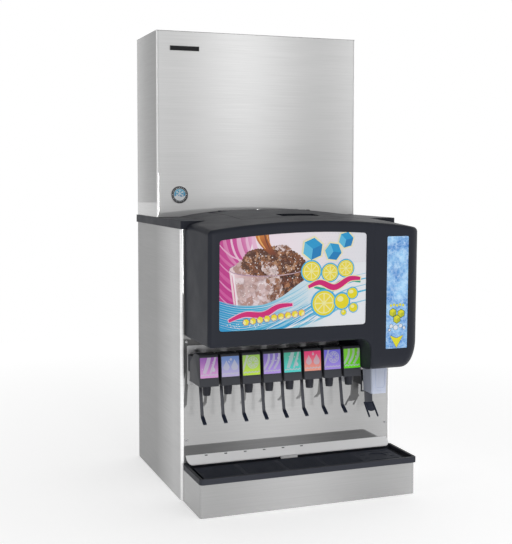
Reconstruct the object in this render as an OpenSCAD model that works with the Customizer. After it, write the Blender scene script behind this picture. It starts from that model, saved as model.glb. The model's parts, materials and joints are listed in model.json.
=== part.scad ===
// Countertop fountain soda dispenser: eight lever valves and an ice chute under a lit
// display hood, an ice hopper behind them and an ice maker on top.
// Origin: centre of the cabinet's footprint on the counter. +Z is up, the customer is at -Y.
// The modules draw in a frame whose Y = 0 is the cabinet's front face.

/* [Cabinet] */
// Width of the cabinet and the ice maker
cab_w = 762; // [756:1:768]
// Depth of the cabinet, front face to back
cab_d = 581; // [579:1:590]
// Height of the cabinet below its top plate
cab_h = 892; // [890:1:896]
// Thickness of the steel sheet
sheet_t = 1.2; // [1:0.1:1.4]
// Width of the side panels' flanges
flange_w = 9; // [8:0.5:9.5]
// Bend radius of the panel edges
bend_r = 4; // [3:0.5:5]
// Thickness of the top plate
plate_t = 27; // [24:1:27]

/* [Ice maker] */
// Depth of the ice maker's case
maker_d = 287; // [285:1:290]
// Height of the ice maker's case
maker_h = 651; // [640:1:680]
// Radius of the evaporator's bore
evap_r = 35.5; // [35.5:0.5:37]
// Clear side of the square ice spout
spout_w = 72; // [66:1:72]

/* [Hood] */
// Width of the hood
hood_w = 732; // [728:1:740]
// Wall thickness of the hood
hood_t = 3; // [2.5:0.5:3.5]
// Height of the hood's bottom edge
hood_z = 541; // [538:1:545]
// Height of the bottom of the ice column
column_z = 432; // [428:1:438]
// Left side of the ice column
column_x = 184; // [183:1:186]
// Width of the display
display_w = 492; // [470:1:494]
// Width of the strip panel
strip_w = 78; // [70:1:80]
// Height of the hood's highest point
crest_z = 948; // [946:1:950]

/* [Valves] */
// Distance between valves
valve_pitch = 70; // [69:0.5:70]
// Width of a valve cover
valve_w = 61; // [58:1:62]
// Width of a valve's label
label_w = 58; // [50:1:58]
// Radius of a nozzle's tip
nozzle_r = 11.5; // [10:0.5:12]
// Width of a valve lever
lever_w = 9.6; // [8:0.2:11]

/* [Ice delivery] */
// Radius of the agitator's paddles
paddle_r = 190; // [180:1:192]
// Radius of the hopper's trough
trough_r = 200; // [197:1:202]
// Radius of the agitator shaft
shaft_r = 8; // [7:0.5:9]
// Radial clearance of shafts in their bearings
fit_gap = 0.05; // [0.03:0.01:0.09]

/* [Drip tray] */
// Width of the tray's rim
tray_w = 756; // [750:1:760]
// Height of the tray's rim
tray_z = 127; // [126:1:128]
// Depth of the basin below the rim's top
basin_depth = 61; // [50:1:70]

/* [Hidden] */
VALVE_COUNT = 8;

$fn = 48;
EPS = 1;                    // how far a cutter reaches past the face it opens
GAP = 0.5;                  // gap between neighbouring panels
top_z = cab_h + plate_t;    // top of the top plate
maker_y = cab_d - maker_d;  // front face of the ice maker
maker_top = top_z + maker_h;
half_w = cab_w / 2;

// Colours
STEEL = "lightgray";
BRIGHT = "whitesmoke";
CHARCOAL = "#3e3f44";
NAVY = "#2f3340";
BLACK = "#1c1d22";
CLEAR = "#c3cde0";
COPPER = "peru";
ALUMINIUM = "silver";

// ---------- helpers ----------
function arc(centre, r, from, to, steps = 8) =
    [for (k = [0:steps]) centre + r * [cos(from + (to - from) * k / steps),
                                       sin(from + (to - from) * k / steps)]];

// Rectangle with rounded corners; r is [left low, right low, right high, left high]
function round_rect(x, y, r) = concat(
    r[0] > 0 ? arc([x[0] + r[0], y[0] + r[0]], r[0], 180, 270) : [[x[0], y[0]]],
    r[1] > 0 ? arc([x[1] - r[1], y[0] + r[1]], r[1], 270, 360) : [[x[1], y[0]]],
    r[2] > 0 ? arc([x[1] - r[2], y[1] - r[2]], r[2], 0, 90) : [[x[1], y[1]]],
    r[3] > 0 ? arc([x[0] + r[3], y[1] - r[3]], r[3], 90, 180) : [[x[0], y[1]]]);

module at_front() { translate([0, -cab_d / 2, 0]) children(); }

module block(x, y, z) {
    translate([x[0], y[0], z[0]]) cube([x[1] - x[0], y[1] - y[0], z[1] - z[0]]);
}

// Open box with walls and a floor of thickness t
module pan(x, y, z, t) {
    difference() {
        block(x, y, z);
        block([x[0] + t, x[1] - t], [y[0] + t, y[1] - t], [z[0] + t, z[1] + EPS]);
    }
}

// 2D outline in (Y, Z) drawn from x[0] to x[1]
module along_x(x) {
    translate([x[0], 0, 0]) rotate([90, 0, 90]) linear_extrude(x[1] - x[0]) children();
}

// 2D outline in (X, Z) drawn from y[0] to y[1]
module along_y(y) {
    translate([0, y[1], 0]) rotate([90, 0, 0]) linear_extrude(y[1] - y[0]) children();
}

// 2D outline in (X, Y) drawn from z[0] to z[1]
module along_z(z) {
    translate([0, 0, z[0]]) linear_extrude(z[1] - z[0]) children();
}

module rod_x(x, y, z, r) { translate([x[0], y, z]) rotate([0, 90, 0]) cylinder(r = r, h = x[1] - x[0]); }
module rod_y(x, y, z, r) { translate([x, y[0], z]) rotate([-90, 0, 0]) cylinder(r = r, h = y[1] - y[0]); }
module rod_z(x, y, z, r) { translate([x, y, z[0]]) cylinder(r = r, h = z[1] - z[0]); }

// ---------- cabinet ----------
base_wall = 40;
base_t = 2;
base_x = half_w - sheet_t - 0.3;
base_y = [bend_r, cab_d - bend_r];
leg_spacing = [640, 440];
leg_hole_r = 5.5;
utility_x = [-220, 220];
utility_y = [424, 544];

module cabinet_base() color(STEEL) {
    difference() {
        at_front() pan([-base_x, base_x], base_y, [0, base_wall], base_t);
        at_front() block(utility_x, utility_y, [-EPS, base_t + EPS]);
        for (sx = [-1, 1], sy = [-1, 1])
            rod_z(sx * leg_spacing[0] / 2, sy * leg_spacing[1] / 2, [-EPS, base_t + EPS], leg_hole_r);
    }
}

// Outline of a C-shaped sheet whose back is at x = 0, between y[0] and y[1]
function channel(y, w, t, r) = concat(
    [[w, y[0]]], arc([r, y[0] + r], r, 270, 180), arc([r, y[1] - r], r, 180, 90),
    [[w, y[1]], [w, y[1] - t]],
    arc([r, y[1] - r], r - t, 90, 180), arc([r, y[0] + r], r - t, 180, 270), [[w, y[0] + t]]);

module side_panel(y, z, w) {
    translate([-half_w, 0, 0]) along_z(z) polygon(channel(y, w, sheet_t, bend_r));
}

module cabinet_left_panel() color(STEEL) at_front() side_panel([0, cab_d], [0, cab_h], flange_w);
module cabinet_right_panel() color(STEEL) mirror([1, 0, 0]) at_front()
    side_panel([0, cab_d], [0, cab_h], flange_w);

panel_x = half_w - flange_w - GAP;
module cabinet_rear_panel() color(STEEL) at_front()
    block([-panel_x, panel_x], [cab_d - sheet_t - 0.4, cab_d - 0.4], [base_t, cab_h - 0.4]);

splash_y = [0.4, 0.4 + sheet_t];
outlet_x = [232, 296];   // ice outlet through the hopper's front and the splash panel
outlet_z = [604, 676];
line_z = 454;            // height of the drink lines behind the valves
agitator_x = 120;
agitator_z = 690;

function valve_x(i) = -338.3 + (i - 1) * valve_pitch;

module splash_panel() color(STEEL) at_front() difference() {
    block([-panel_x, panel_x], splash_y, [base_t, cab_h - 0.4]);
    block(outlet_x, [-EPS, splash_y[1] + EPS], outlet_z);
    block([valve_x(1) - 8, valve_x(VALVE_COUNT) + 8], [-EPS, splash_y[1] + EPS], [line_z - 8, line_z + 8]);
    rod_y(agitator_x, [-EPS, splash_y[1] + EPS], agitator_z, 2 * shaft_r);
}

// Bright sloping strip that leads spills from the splash panel into the tray
ledge_top = [0, 150];
ledge_low = [-30, 125];
ledge_x = [-366, 367];
ledge_corner_r = 18;
ledge_t = 1.6;
tab_x = [-44, 15];
weep_x = -297;           // first of the slots along the upper edge
weep_pitch = 68;
weep_count = 6;
tab_drop = 7;
module splash_ledge() color(BRIGHT) at_front() {
    difference() {
        intersection() {
            along_x(ledge_x)
                polygon([ledge_low, ledge_top, ledge_top - [0, ledge_t], ledge_low - [0, ledge_t]]);
            along_z([100, 160])
                polygon(round_rect(ledge_x, [ledge_low[0], ledge_top[0]],
                                   [ledge_corner_r, ledge_corner_r, 0, 0]));
        }
        for (k = [0:weep_count - 1])
            block([weep_x + k * weep_pitch - 5, weep_x + k * weep_pitch + 5], [-6, -1.5], [130, 160]);
    }
    block(tab_x, [ledge_low[0] - tab_drop, ledge_low[0] + 1], [ledge_low[1] - tab_drop, ledge_low[1] + 0.4]);
}

plate_over = 4;
plate_lip = 25;
plate_corner_r = 10;
plate_open_x = [-280, 280];
plate_open_y = [48, 532];
module top_plate() color(CHARCOAL) at_front() difference() {
    along_z([cab_h, top_z])
        polygon(round_rect([-half_w - plate_over, half_w + plate_over], [-plate_lip, cab_d + plate_over],
                           [plate_corner_r, plate_corner_r, 2, 2]));
    block(plate_open_x, plate_open_y, [cab_h - EPS, top_z + EPS]);
}

// ---------- drip tray ----------
skirt_x = 375;
skirt_y = [-189, -1];
skirt_top = 107.5;
skirt_return = 10;
module tray_skirt() color(STEEL) at_front() along_z([0, skirt_top]) difference() {
    polygon(round_rect([-skirt_x, skirt_x], skirt_y, [bend_r * 2, bend_r * 2, 0, 0]));
    polygon(round_rect([-skirt_x + sheet_t, skirt_x - sheet_t],
                       [skirt_y[0] + sheet_t, skirt_y[1] - sheet_t],
                       [bend_r * 2 - sheet_t, bend_r * 2 - sheet_t, 0, 0]));
    translate([-skirt_x + skirt_return, -100]) square([2 * (skirt_x - skirt_return), 110]);
}

tray_x = tray_w / 2;
tray_y = [-200, -9];
rim_t = 10;              // width of the rim's wall
rim_h = 19;
rest_z = tray_z - 14;    // shelf that carries the cup rest
basin_x = 358;
basin_y = [-182, -26];
basin_t = 3;
drain_x = -300;
drain_y = -110;
drain_r = 9;
drain_out_r = 12.7;
drain_z = [18, 60];
module drip_tray() color(NAVY) at_front() difference() {
    union() {
        along_z([tray_z - rim_h, tray_z])
            polygon(round_rect([-tray_x, tray_x], tray_y, [12, 12, 6, 6]));
        block([-basin_x - basin_t, basin_x + basin_t], [basin_y[0] - basin_t, basin_y[1] + basin_t],
              [tray_z - basin_depth, tray_z - rim_h + 1]);
        rod_z(drain_x, drain_y, [drain_z[0], tray_z - basin_depth + 1], drain_out_r);
    }
    block([-tray_x + rim_t, tray_x - rim_t], [tray_y[0] + rim_t, tray_y[1] - rim_t],
          [rest_z, tray_z + EPS]);
    block([-basin_x, basin_x], basin_y, [tray_z - basin_depth + basin_t, tray_z]);
    rod_z(drain_x, drain_y, [drain_z[0] - EPS, tray_z], drain_r);
}

// Five-part slotted grating that the cups stand on
rest_x = [-352, 348];
rest_y = [-187, -42];
rest_t = 5;
section_w = 140;
slot_rows = 11;
slot_w = 4;
slot_pitch = 12;
ring_xy = [278, -110];
ring_r = 31;
through = [rest_z - 1, rest_z + 10];
module cup_rest() color(NAVY) at_front() difference() {
    block(rest_x, rest_y, [rest_z + 0.3, rest_z + 0.3 + rest_t]);
    for (s = [0:3], k = [0:slot_rows - 1])
        block([rest_x[0] + s * section_w + 8, rest_x[0] + (s + 1) * section_w - 6],
              [rest_y[0] + 10 + k * slot_pitch, rest_y[0] + 10 + k * slot_pitch + slot_w], through);
    // Slots round the plain ring of the last section
    for (y = [-62, -158]) block([222, 334], [y - 2, y + 2], through);
    for (y = [-92, -128], x = [222, 316]) block([x, x + 18], [y - 2, y + 2], through);
    rod_z(ring_xy[0], ring_xy[1], [rest_z + 0.3 + rest_t - 2, rest_z + 10], ring_r);
}

// ---------- ice maker ----------
maker_flange = 6;
maker_x = half_w - maker_flange - GAP;
maker_rear = cab_d - sheet_t - 0.4;
maker_lid_t = 1.2;
maker_side_top = maker_top - maker_lid_t - 0.2;
maker_cx = 200;          // axis of the evaporator
maker_cy = 440;
spout_x = [54, 54 + spout_w];
spout_y = [404, 404 + spout_w];
spout_t = 3;

module maker_base() color(STEEL) at_front() difference() {
    pan([-half_w + 1.6, half_w - 1.6], [maker_y + bend_r, cab_d - bend_r], [top_z, top_z + 24], 2);
    block([spout_x[0] - 4, spout_x[1] + 4], [spout_y[0] - 4, spout_y[1] + 4], [top_z - EPS, top_z + 3]);
}

module maker_left_panel() color(STEEL) at_front()
    side_panel([maker_y, cab_d], [top_z, maker_side_top], maker_flange);
module maker_right_panel() color(STEEL) mirror([1, 0, 0]) at_front()
    side_panel([maker_y, cab_d], [top_z, maker_side_top], maker_flange);
module maker_front_panel() color(STEEL) at_front()
    block([-maker_x, maker_x], [maker_y + 0.4, maker_y + 0.4 + sheet_t], [top_z + 0.4, maker_side_top]);

louvre_rows = 14;
louvre_w = 230;
louvre_x = -320;
louvre_z = top_z + 270;
louvre_pitch = 20;
module maker_rear_panel() color(STEEL) at_front() difference() {
    block([-maker_x, maker_x], [maker_rear, maker_rear + sheet_t], [top_z + 0.4, maker_side_top]);
    for (k = [0:louvre_rows - 1])
        block([louvre_x, louvre_x + louvre_w], [maker_rear - EPS, cab_d + EPS],
              [louvre_z + k * louvre_pitch, louvre_z + k * louvre_pitch + 8]);
}

module maker_top_panel() color(STEEL) at_front() difference() {
    union() {
        block([-half_w, half_w], [maker_y, cab_d], [maker_top - maker_lid_t, maker_top]);
        block([-half_w + 1.6, half_w - 1.6], [maker_y + bend_r, cab_d - bend_r],
              [maker_top - 18, maker_top - maker_lid_t + 0.1]);
    }
    block([-half_w + 2.8, half_w - 2.8], [maker_y + bend_r + 1.2, cab_d - bend_r - 1.2],
          [maker_top - 19, maker_top - maker_lid_t]);
}

plate_xz = [[-333, -225], [582, 600]];   // name plate, above the top plate
badge_xz = [-299, 79];
badge_r = 31;
module maker_badges() color(BLACK) at_front() {
    block(plate_xz[0], [maker_y - 0.8, maker_y + 0.4], plate_xz[1] + [top_z, top_z]);
    rod_y(badge_xz[0], [maker_y - 1.6, maker_y + 0.4], top_z + badge_xz[1], badge_r);
}

evap_z = [1136, 1396];
auger_core_r = 16;
module evaporator() color(ALUMINIUM) at_front() difference() {
    union() {
        rod_z(maker_cx, maker_cy, evap_z, 55);
        rod_z(maker_cx, maker_cy, [evap_z[0], evap_z[0] + 12], 64);
        rod_z(maker_cx, maker_cy, [evap_z[1] - 12, evap_z[1]], 62);
    }
    rod_z(maker_cx, maker_cy, [evap_z[0] - EPS, evap_z[1] + EPS], evap_r);
}

// Core with a stepped flight, on a shaft that runs in the gear motor
auger_turns = 5;
flights_per_turn = 8;
module auger() color("gray") at_front() {
    lift = (evap_z[1] - evap_z[0] - 24) / (auger_turns * flights_per_turn);
    rod_z(maker_cx, maker_cy, [evap_z[0] + 4, evap_z[1] + 8], auger_core_r);
    rod_z(maker_cx, maker_cy, [1076, evap_z[0] + 5], shaft_r);
    for (k = [0:auger_turns * flights_per_turn - 1])
        translate([maker_cx, maker_cy, evap_z[0] + 8 + k * lift]) rotate([0, 0, k * 360 / flights_per_turn])
            intersection() {
                cylinder(r = evap_r - 0.5, h = lift + 0.4);
                translate([0, -13, 0]) cube([evap_r, 26, lift + 0.4]);
            }
}

module gear_motor() color(BLACK) at_front() difference() {
    union() {
        block([maker_cx - 62, maker_cx + 62], [maker_cy - 55, maker_cy + 55], [1040, 1126]);
        rod_z(maker_cx, maker_cy, [1125, evap_z[0]], 40);
        rod_z(maker_cx, maker_cy, [top_z + 2, 1041], 48);
    }
    rod_z(maker_cx, maker_cy, [1075, evap_z[0] + EPS], shaft_r + fit_gap);
}

shell_x = -240;
shell_r = 78;
shell_z = [top_z + 16, top_z + 170];
module compressor() color(BLACK) at_front() {
    rod_z(shell_x, maker_cy, shell_z, shell_r);
    translate([shell_x, maker_cy, shell_z[1]]) cylinder(r1 = shell_r, r2 = shell_r / 2, h = 34);
    block([shell_x - 90, shell_x + 90], [maker_cy - 70, maker_cy + 70], [top_z + 2, shell_z[0]]);
    // Cover of the electrical terminals
    block([shell_x + 64, shell_x + 100], [maker_cy - 24, maker_cy + 24], [top_z + 80, top_z + 130]);
}

cond_x = [-340, -70];
cond_z = [top_z + 262, top_z + 560];
fan_x = -205;
fan_z = top_z + 411;
fan_r = 118;
cond_y = 544;
fin_pitch = 10;
tube_pitch = 31;
module condenser() color(COPPER) at_front() {
    for (x = [cond_x[0] + 7:fin_pitch:cond_x[1] - 3])
        block([x - 1, x + 1], [cond_y - 22, cond_y + 22], cond_z);
    for (x = cond_x) block([x - 1, x + 1], [cond_y - 26, cond_y + 26], cond_z);
    for (k = [0:8]) rod_x([cond_x[0] - 6, cond_x[1] + 6], cond_y, cond_z[0] + 26 + k * tube_pitch, 5);
}

hub_r = 26;
blade_count = 5;
blade_twist = 24;
fan_shaft_r = 4;
module condenser_fan() color(CHARCOAL) at_front() {
    difference() {
        rod_y(fan_x, [470, 500], fan_z, hub_r);
        rod_y(fan_x, [469, 492], fan_z, fan_shaft_r + fit_gap);
    }
    for (k = [0:blade_count - 1])
        translate([fan_x, 485, fan_z]) rotate([0, k * 360 / blade_count, 0]) rotate([blade_twist, 0, 0])
            translate([hub_r - 4, -1.5, -30]) cube([fan_r - hub_r + 2, 3, 60]);
}

module fan_motor() color(BLACK) at_front() {
    rod_y(fan_x, [410, 462], fan_z, 36);
    rod_y(fan_x, [461, 490], fan_z, fan_shaft_r);
    // Bracket from the condenser's frame
    bracket_x = [fan_x - 9, fan_x + 9];
    block(bracket_x, [430, 434], [fan_z - 150, fan_z + 150]);
    for (sz = [-1, 1]) {
        block(bracket_x, [432, 436], [fan_z - 9 + sz * 90, fan_z + 9 + sz * 90]);
        block(bracket_x, [430, 517], [fan_z - 3 + sz * 147, fan_z + 3 + sz * 147]);
    }
}

box_x = [288, 372];
box_y = [310, 420];
box_z = [top_z + 260, top_z + 600];
box_t = 3;
module control_box() color(STEEL) at_front() difference() {
    block(box_x, box_y, box_z);
    block([box_x[0] + box_t, box_x[1] - box_t], [box_y[0] - EPS, box_y[1] - box_t],
          [box_z[0] + box_t, box_z[1] - box_t]);
}

module water_reservoir() color(CLEAR) at_front()
    pan([290, 368], [446, 560], [top_z + 60, top_z + 190], 3);

// Head on the evaporator and the duct that drops the ice into the hopper
head_z = [evap_z[1] + 1, evap_z[1] + 66];
spout_low = cab_h - 6;
module ice_spout() color(CLEAR) at_front() difference() {
    union() {
        block([spout_x[0] - spout_t, spout_x[1] + spout_t], [spout_y[0] - spout_t, spout_y[1] + spout_t],
              [spout_low, head_z[1]]);
        block([spout_x[0] - spout_t, maker_cx + 58], [maker_cy - 46, maker_cy + 46], head_z);
    }
    block(spout_x, spout_y, [spout_low - EPS, head_z[1] - spout_t]);
    block([spout_x[0], maker_cx + 55], [maker_cy - 43, maker_cy + 43],
          [head_z[0] + spout_t, head_z[1] - spout_t]);
    rod_z(maker_cx, maker_cy, [head_z[0] - EPS, head_z[0] + spout_t + EPS], evap_r);
}

// ---------- hopper ----------
hopper_t = 4;
hopper_x = [-330, agitator_x + trough_r];
hopper_y = [40, 540];
hopper_floor = 620;
hopper_top = cab_h - 2;

// Flat shelf on the left and a half-round trough on the right, grown outwards by t
function hopper_outline(t, top) =
    let (r = trough_r + t, z = hopper_floor - t, sink = asin((agitator_z - z) / r))
    concat([[hopper_x[0] - t, top], [hopper_x[0] - t, z]],
           arc([agitator_x, agitator_z], r, 180 + sink, 360, 20), [[agitator_x + r, top]]);

module ice_hopper() color(BRIGHT) at_front() difference() {
    along_y(hopper_y) polygon(hopper_outline(hopper_t, hopper_top));
    along_y([hopper_y[0] + hopper_t, hopper_y[1] - hopper_t]) polygon(hopper_outline(0, hopper_top + EPS));
    block(outlet_x, [hopper_y[0] - EPS, hopper_y[0] + hopper_t + EPS], outlet_z);
    rod_y(agitator_x, [hopper_y[0] - EPS, hopper_y[0] + hopper_t + EPS], agitator_z, shaft_r + fit_gap);
}

arm_stations = [110, 290, 470];
arm_w = 18;
arm_t = 8;
module agitator() color(ALUMINIUM) at_front() {
    rod_y(agitator_x, [-40, 520], agitator_z, shaft_r);
    for (s = [0:2], k = [0:3])
        translate([agitator_x, arm_stations[s], agitator_z]) rotate([0, 45 + k * 90 + s * 20, 0])
            translate([0, -arm_w / 2, -arm_t / 2]) cube([paddle_r, arm_w, arm_t]);
}

module agitator_motor() color(BLACK) at_front() difference() {
    union() {
        // Gearbox, motor and mounting plate
        block([agitator_x - 52, agitator_x + 52], [-62, -6], [agitator_z - 58, agitator_z + 58]);
        rod_y(agitator_x, [-150, -61], agitator_z, 42);
        block([agitator_x - 66, agitator_x + 66], [-6, 0], [agitator_z - 20, agitator_z + 20]);
    }
    rod_y(agitator_x, [-41, EPS], agitator_z, shaft_r + fit_gap);
}

cold_x = [-350, 350];
cold_y = [60, 520];
cold_z = [430, 478];
module cold_plate() color(ALUMINIUM) at_front() block(cold_x, cold_y, cold_z);

line_r = 4.8;
barb_z = [12, 60];
riser_r = 6;
barb_y = 484;
barb_pitch = 48;
barb_count = 9;
// Drink lines from the cold plate to the valves, and the supply barbs with their risers,
// which stand against the edge of a shelf
module product_lines() color(CLEAR) at_front() {
    for (i = [1:VALVE_COUNT]) rod_y(valve_x(i), [rail_y[0] + 0.2, 60], line_z, line_r);
    for (k = [0:barb_count - 1]) {
        x = (k - (barb_count - 1) / 2) * barb_pitch;
        rod_z(x, barb_y, barb_z, line_r);
        rod_z(x, barb_y, [barb_z[1], cold_z[0] - 0.3], riser_r);
    }
    block([-212, 212], [barb_y + riser_r + 0.3, cab_d - sheet_t - 0.7], [barb_z[1] + 4, barb_z[1] + 12]);
}

// ---------- hood ----------
hood_x = [-hood_w / 2, hood_w / 2];
face_low_y = -250;       // front face at the hood's bottom edge
face_lean = 8 / 359;     // how far the face comes forward for each mm of height
function face_y(z) = face_low_y - (z - hood_z) * face_lean;

hood_rear = -2;          // rear edge of the hood, below the top plate
front_arc_r = 2450;      // arch of the hood's front top edge
front_arc_x = -12;
front_top = 923.5;
crest_y = 147;
crest_arc_r = 1597;      // arch of the dome from side to side
back_arc_r = 1022;       // fall of the dome behind its crest
dome_rise = atan((crest_z - front_top) / (crest_y - face_y(front_top)));
fillet_r = 40;
column_r = [12, 50];
roll_r = 55;             // bottom front edge of the ice column
corner_r = [15, 60];
hood_high = 965;

// Front view of the hood, drawn inwards by i
function hood_front(i) =
    let (l = hood_x[0] + i, r = hood_x[1] - i, m = hood_z + i, c = column_z + i, x = column_x + i,
         rl = column_r[0] - i, rr = column_r[1] - i)
    concat([[l, hood_high]], arc([l + 8, m + 8], 8, 180, 270, 4),
           arc([column_x - fillet_r, hood_z - fillet_r], fillet_r + i, 90, 0),
           arc([x + rl, c + rl], rl, 180, 270), arc([r - rr, c + rr], rr, 270, 360),
           [[r, hood_high]]);

// Side view of the hood, drawn inwards by i and reaching reach further where it is open
function hood_side(i, reach) =
    let (zr = column_z + roll_r, y = face_y(zr) + i, r = roll_r - i, rb = back_arc_r - i,
         back = maker_y - 0.5 - i, fall = asin((back - crest_y) / rb))
    concat([[face_y(hood_high) + i, hood_high]], arc([y + r, zr], r, 180, 270),
           [[hood_rear + reach, column_z + i], [hood_rear + reach, cab_h - 2 - i],
            [-plate_lip - 1 + reach, cab_h - 2 - i], [-plate_lip - 1 + reach, top_z - reach],
            [back, top_z - reach]],
           arc([crest_y, crest_z - back_arc_r], rb, 90 - fall, 90),
           [[crest_y - 1, hood_high]]);

module hood_block(i, reach) {
    intersection() {
        along_z([column_z - EPS, hood_high - EPS])
            polygon(round_rect([hood_x[0] + i, hood_x[1] - i], [face_y(hood_high) + i, maker_y],
                               [corner_r[0] - i, corner_r[1] - i, 0, 0]));
        along_y([face_y(hood_high) - EPS, maker_y]) polygon(hood_front(i));
        along_x([hood_x[0], hood_x[1]]) polygon(hood_side(i, reach));
        rod_y(0, [face_y(hood_high) - EPS, maker_y], crest_z - crest_arc_r, crest_arc_r - i, $fn = 720);
        translate([front_arc_x, face_y(front_top), front_top - front_arc_r]) rotate([dome_rise, 0, 0])
            rod_y(0, [-300, 700], 0, front_arc_r - i, $fn = 720);
    }
}

// Slab that follows the leaning front face, between two depths behind it
module face_slab(depth, x) {
    along_x(x) polygon([for (p = [[0, 440], [0, 940], [1, 940], [1, 440]])
        [face_y(p[1]) + depth[p[0]], p[1]]]);
}

display_x = [-332, -332 + display_w];
display_z = 590;
display_top = 889;
display_r = 10;
strip_x = 275;
strip_z = [504, 870];
// Outline of the display: flat bottom, arched top, rounded corners, drawn inwards by i
function display_outline(i) =
    let (x0 = display_x[0] + i, x1 = display_x[1] - i, r = display_r - i,
         sag0 = pow(x0 + r - front_arc_x, 2) / 2 / front_arc_r,
         sag1 = pow(x1 - r - front_arc_x, 2) / 2 / front_arc_r)
    concat(arc([x0 + r, display_z + i + r], r, 180, 270), arc([x1 - r, display_z + i + r], r, 270, 360),
           arc([x1 - r, display_top - i - sag1 - r], r, 0, 90),
           [for (k = [1:11]) let (x = x1 - r + (x0 - x1 + 2 * r) * k / 12)
               [x, display_top - i - pow(x - front_arc_x, 2) / 2 / front_arc_r]],
           arc([x0 + r, display_top - i - sag0 - r], r, 90, 180));

function strip_outline(i) = round_rect([strip_x - strip_w / 2 + i, strip_x + strip_w / 2 - i],
                                       [strip_z[0] + i, strip_z[1] - i], [4, 4, 4, 4]);

lid_x = [-207, 207];
lid_y = [-108, 228];
lid_r = 14;
lid_open_back = 250;
lid_gap = 1;
lid_cut_z = 880;         // below the lid's lowest edge
pivot_y = 239;
pivot_z = 937;
pivot_r = 2.5;
knuckle_r = 5;
lug_x = 168;
knuckle_x = 145;

module hood() color(CHARCOAL) at_front() {
    difference() {
        hood_block(0, 0);
        hood_block(hood_t, EPS);
        along_y([-300, -200]) polygon(display_outline(0));
        along_y([-300, -200]) polygon(strip_outline(0));
        along_z([lid_cut_z, hood_high])
            polygon(round_rect([lid_x[0] - lid_gap, lid_x[1] + lid_gap], [lid_y[0] - lid_gap, lid_open_back],
                               lid_r * [1, 1, 0, 0]));
        block([chute_neck_x[0] - chute_room, chute_neck_x[1] + chute_room],
              [chute_neck_y[0] - chute_room, chute_neck_y[1] + chute_room],
              [column_z - EPS, column_z + hood_t + EPS]);
    }
    // Lugs that carry the lid's pins
    for (x = [-lug_x, lug_x]) difference() {
        union() {
            rod_x([x - 6, x + 6], pivot_y, pivot_z, knuckle_r);
            block([x - 6, x + 6], [pivot_y, lid_open_back + 2], [pivot_z - 3, pivot_z + 1]);
        }
        rod_x([x - 7, x + 7], pivot_y, pivot_z, pivot_r + fit_gap);
    }
}

pull_x = [-60, 75];
pull_y = [-86, -16];
pull_z = 923.5;
knob_xy = [-60, 147];
module fill_lid() color(CHARCOAL) at_front() {
    difference() {
        union() {
            intersection() {
                difference() {
                    hood_block(0, 0);
                    hood_block(hood_t, EPS);
                }
                along_z([lid_cut_z, hood_high]) polygon(round_rect(lid_x, lid_y, lid_r * [1, 1, 0, 0]));
            }
            intersection() {
                hood_block(0, 0);
                block([pull_x[0] - hood_t, pull_x[1] + hood_t], [pull_y[0] - hood_t, pull_y[1] + hood_t],
                      [pull_z - hood_t, hood_high]);
            }
            rod_z(knob_xy[0], knob_xy[1], [crest_z - 6, crest_z + 5], 4.5);
        }
        block(pull_x, pull_y, [pull_z, hood_high]);
    }
    for (sx = [-1, 1]) {
        rod_x([sx * knuckle_x - 12, sx * knuckle_x + 12], pivot_y, pivot_z, knuckle_r);
        rod_x([sx * (lug_x - 6) - 11.5, sx * (lug_x - 6) + 11.5], pivot_y, pivot_z, pivot_r);
        block([sx * knuckle_x - 12, sx * knuckle_x + 12], [lid_y[1] - 4, pivot_y],
              [pivot_z - 1.5, pivot_z + 1.5]);
    }
}

module display_panel() color("plum") at_front() intersection() {
    along_y([-300, -200]) polygon(display_outline(0.3));
    face_slab([1, 4], [display_x[0], display_x[1]]);
}

module strip_panel() color("cornflowerblue") at_front() intersection() {
    along_y([-300, -200]) polygon(strip_outline(0.3));
    face_slab([1, 4], [strip_x - strip_w, strip_x + strip_w]);
}

// ---------- ice chute ----------
chute_x = [212, 322];       // duct behind the hood
chute_y = [-140, -8];
chute_top = 692;
chute_bend_z = 500;         // where the duct starts to narrow
chute_neck_x = [238, 302];  // where it leaves the hood
chute_neck_y = [-137, -66];
chute_neck_z = 436;
chute_mouth_x = [245, 300];
chute_mouth_y = [-130, -62];
chute_low_z = 334;
chute_t = 2.5;
chute_room = 6;             // room around the neck in the hood's bottom

// Narrowing outline of the chute, drawn inwards by i; reach opens the bottom
function chute_outline(duct, neck, mouth, i, reach) = [
    [duct[0] + i, chute_top - i], [duct[0] + i, chute_bend_z], [neck[0] + i, chute_neck_z],
    [mouth[0] + i, chute_low_z - reach], [mouth[1] - i, chute_low_z - reach],
    [neck[1] - i, chute_neck_z], [duct[1] - i, chute_bend_z], [duct[1] - i, chute_top - i]];

module chute_block(i, reach) {
    intersection() {
        along_y(chute_y) polygon(chute_outline(chute_x, chute_neck_x, chute_mouth_x, i, reach));
        along_x(chute_x) polygon(chute_outline(chute_y, chute_neck_y, chute_mouth_y, i, reach));
    }
}

gate_y = -15;
gate_z = 684;
module ice_chute() color(CLEAR, 0.6) at_front() difference() {
    chute_block(0, 0);
    chute_block(chute_t, EPS);
    block(outlet_x, [chute_y[1] - chute_t - EPS, chute_y[1] + EPS], outlet_z);
    rod_x([chute_x[0] - EPS, chute_x[1] + EPS], gate_y, gate_z, pivot_r + fit_gap);
}

module ice_gate() color(STEEL) at_front() {
    rod_x([chute_x[0] + 0.3, chute_x[1] - 0.3], gate_y, gate_z, pivot_r);
    block([outlet_x[0] - 4, outlet_x[1] + 4], [gate_y - 1, gate_y + 1], [outlet_z[0] - 4, gate_z]);
}

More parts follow.
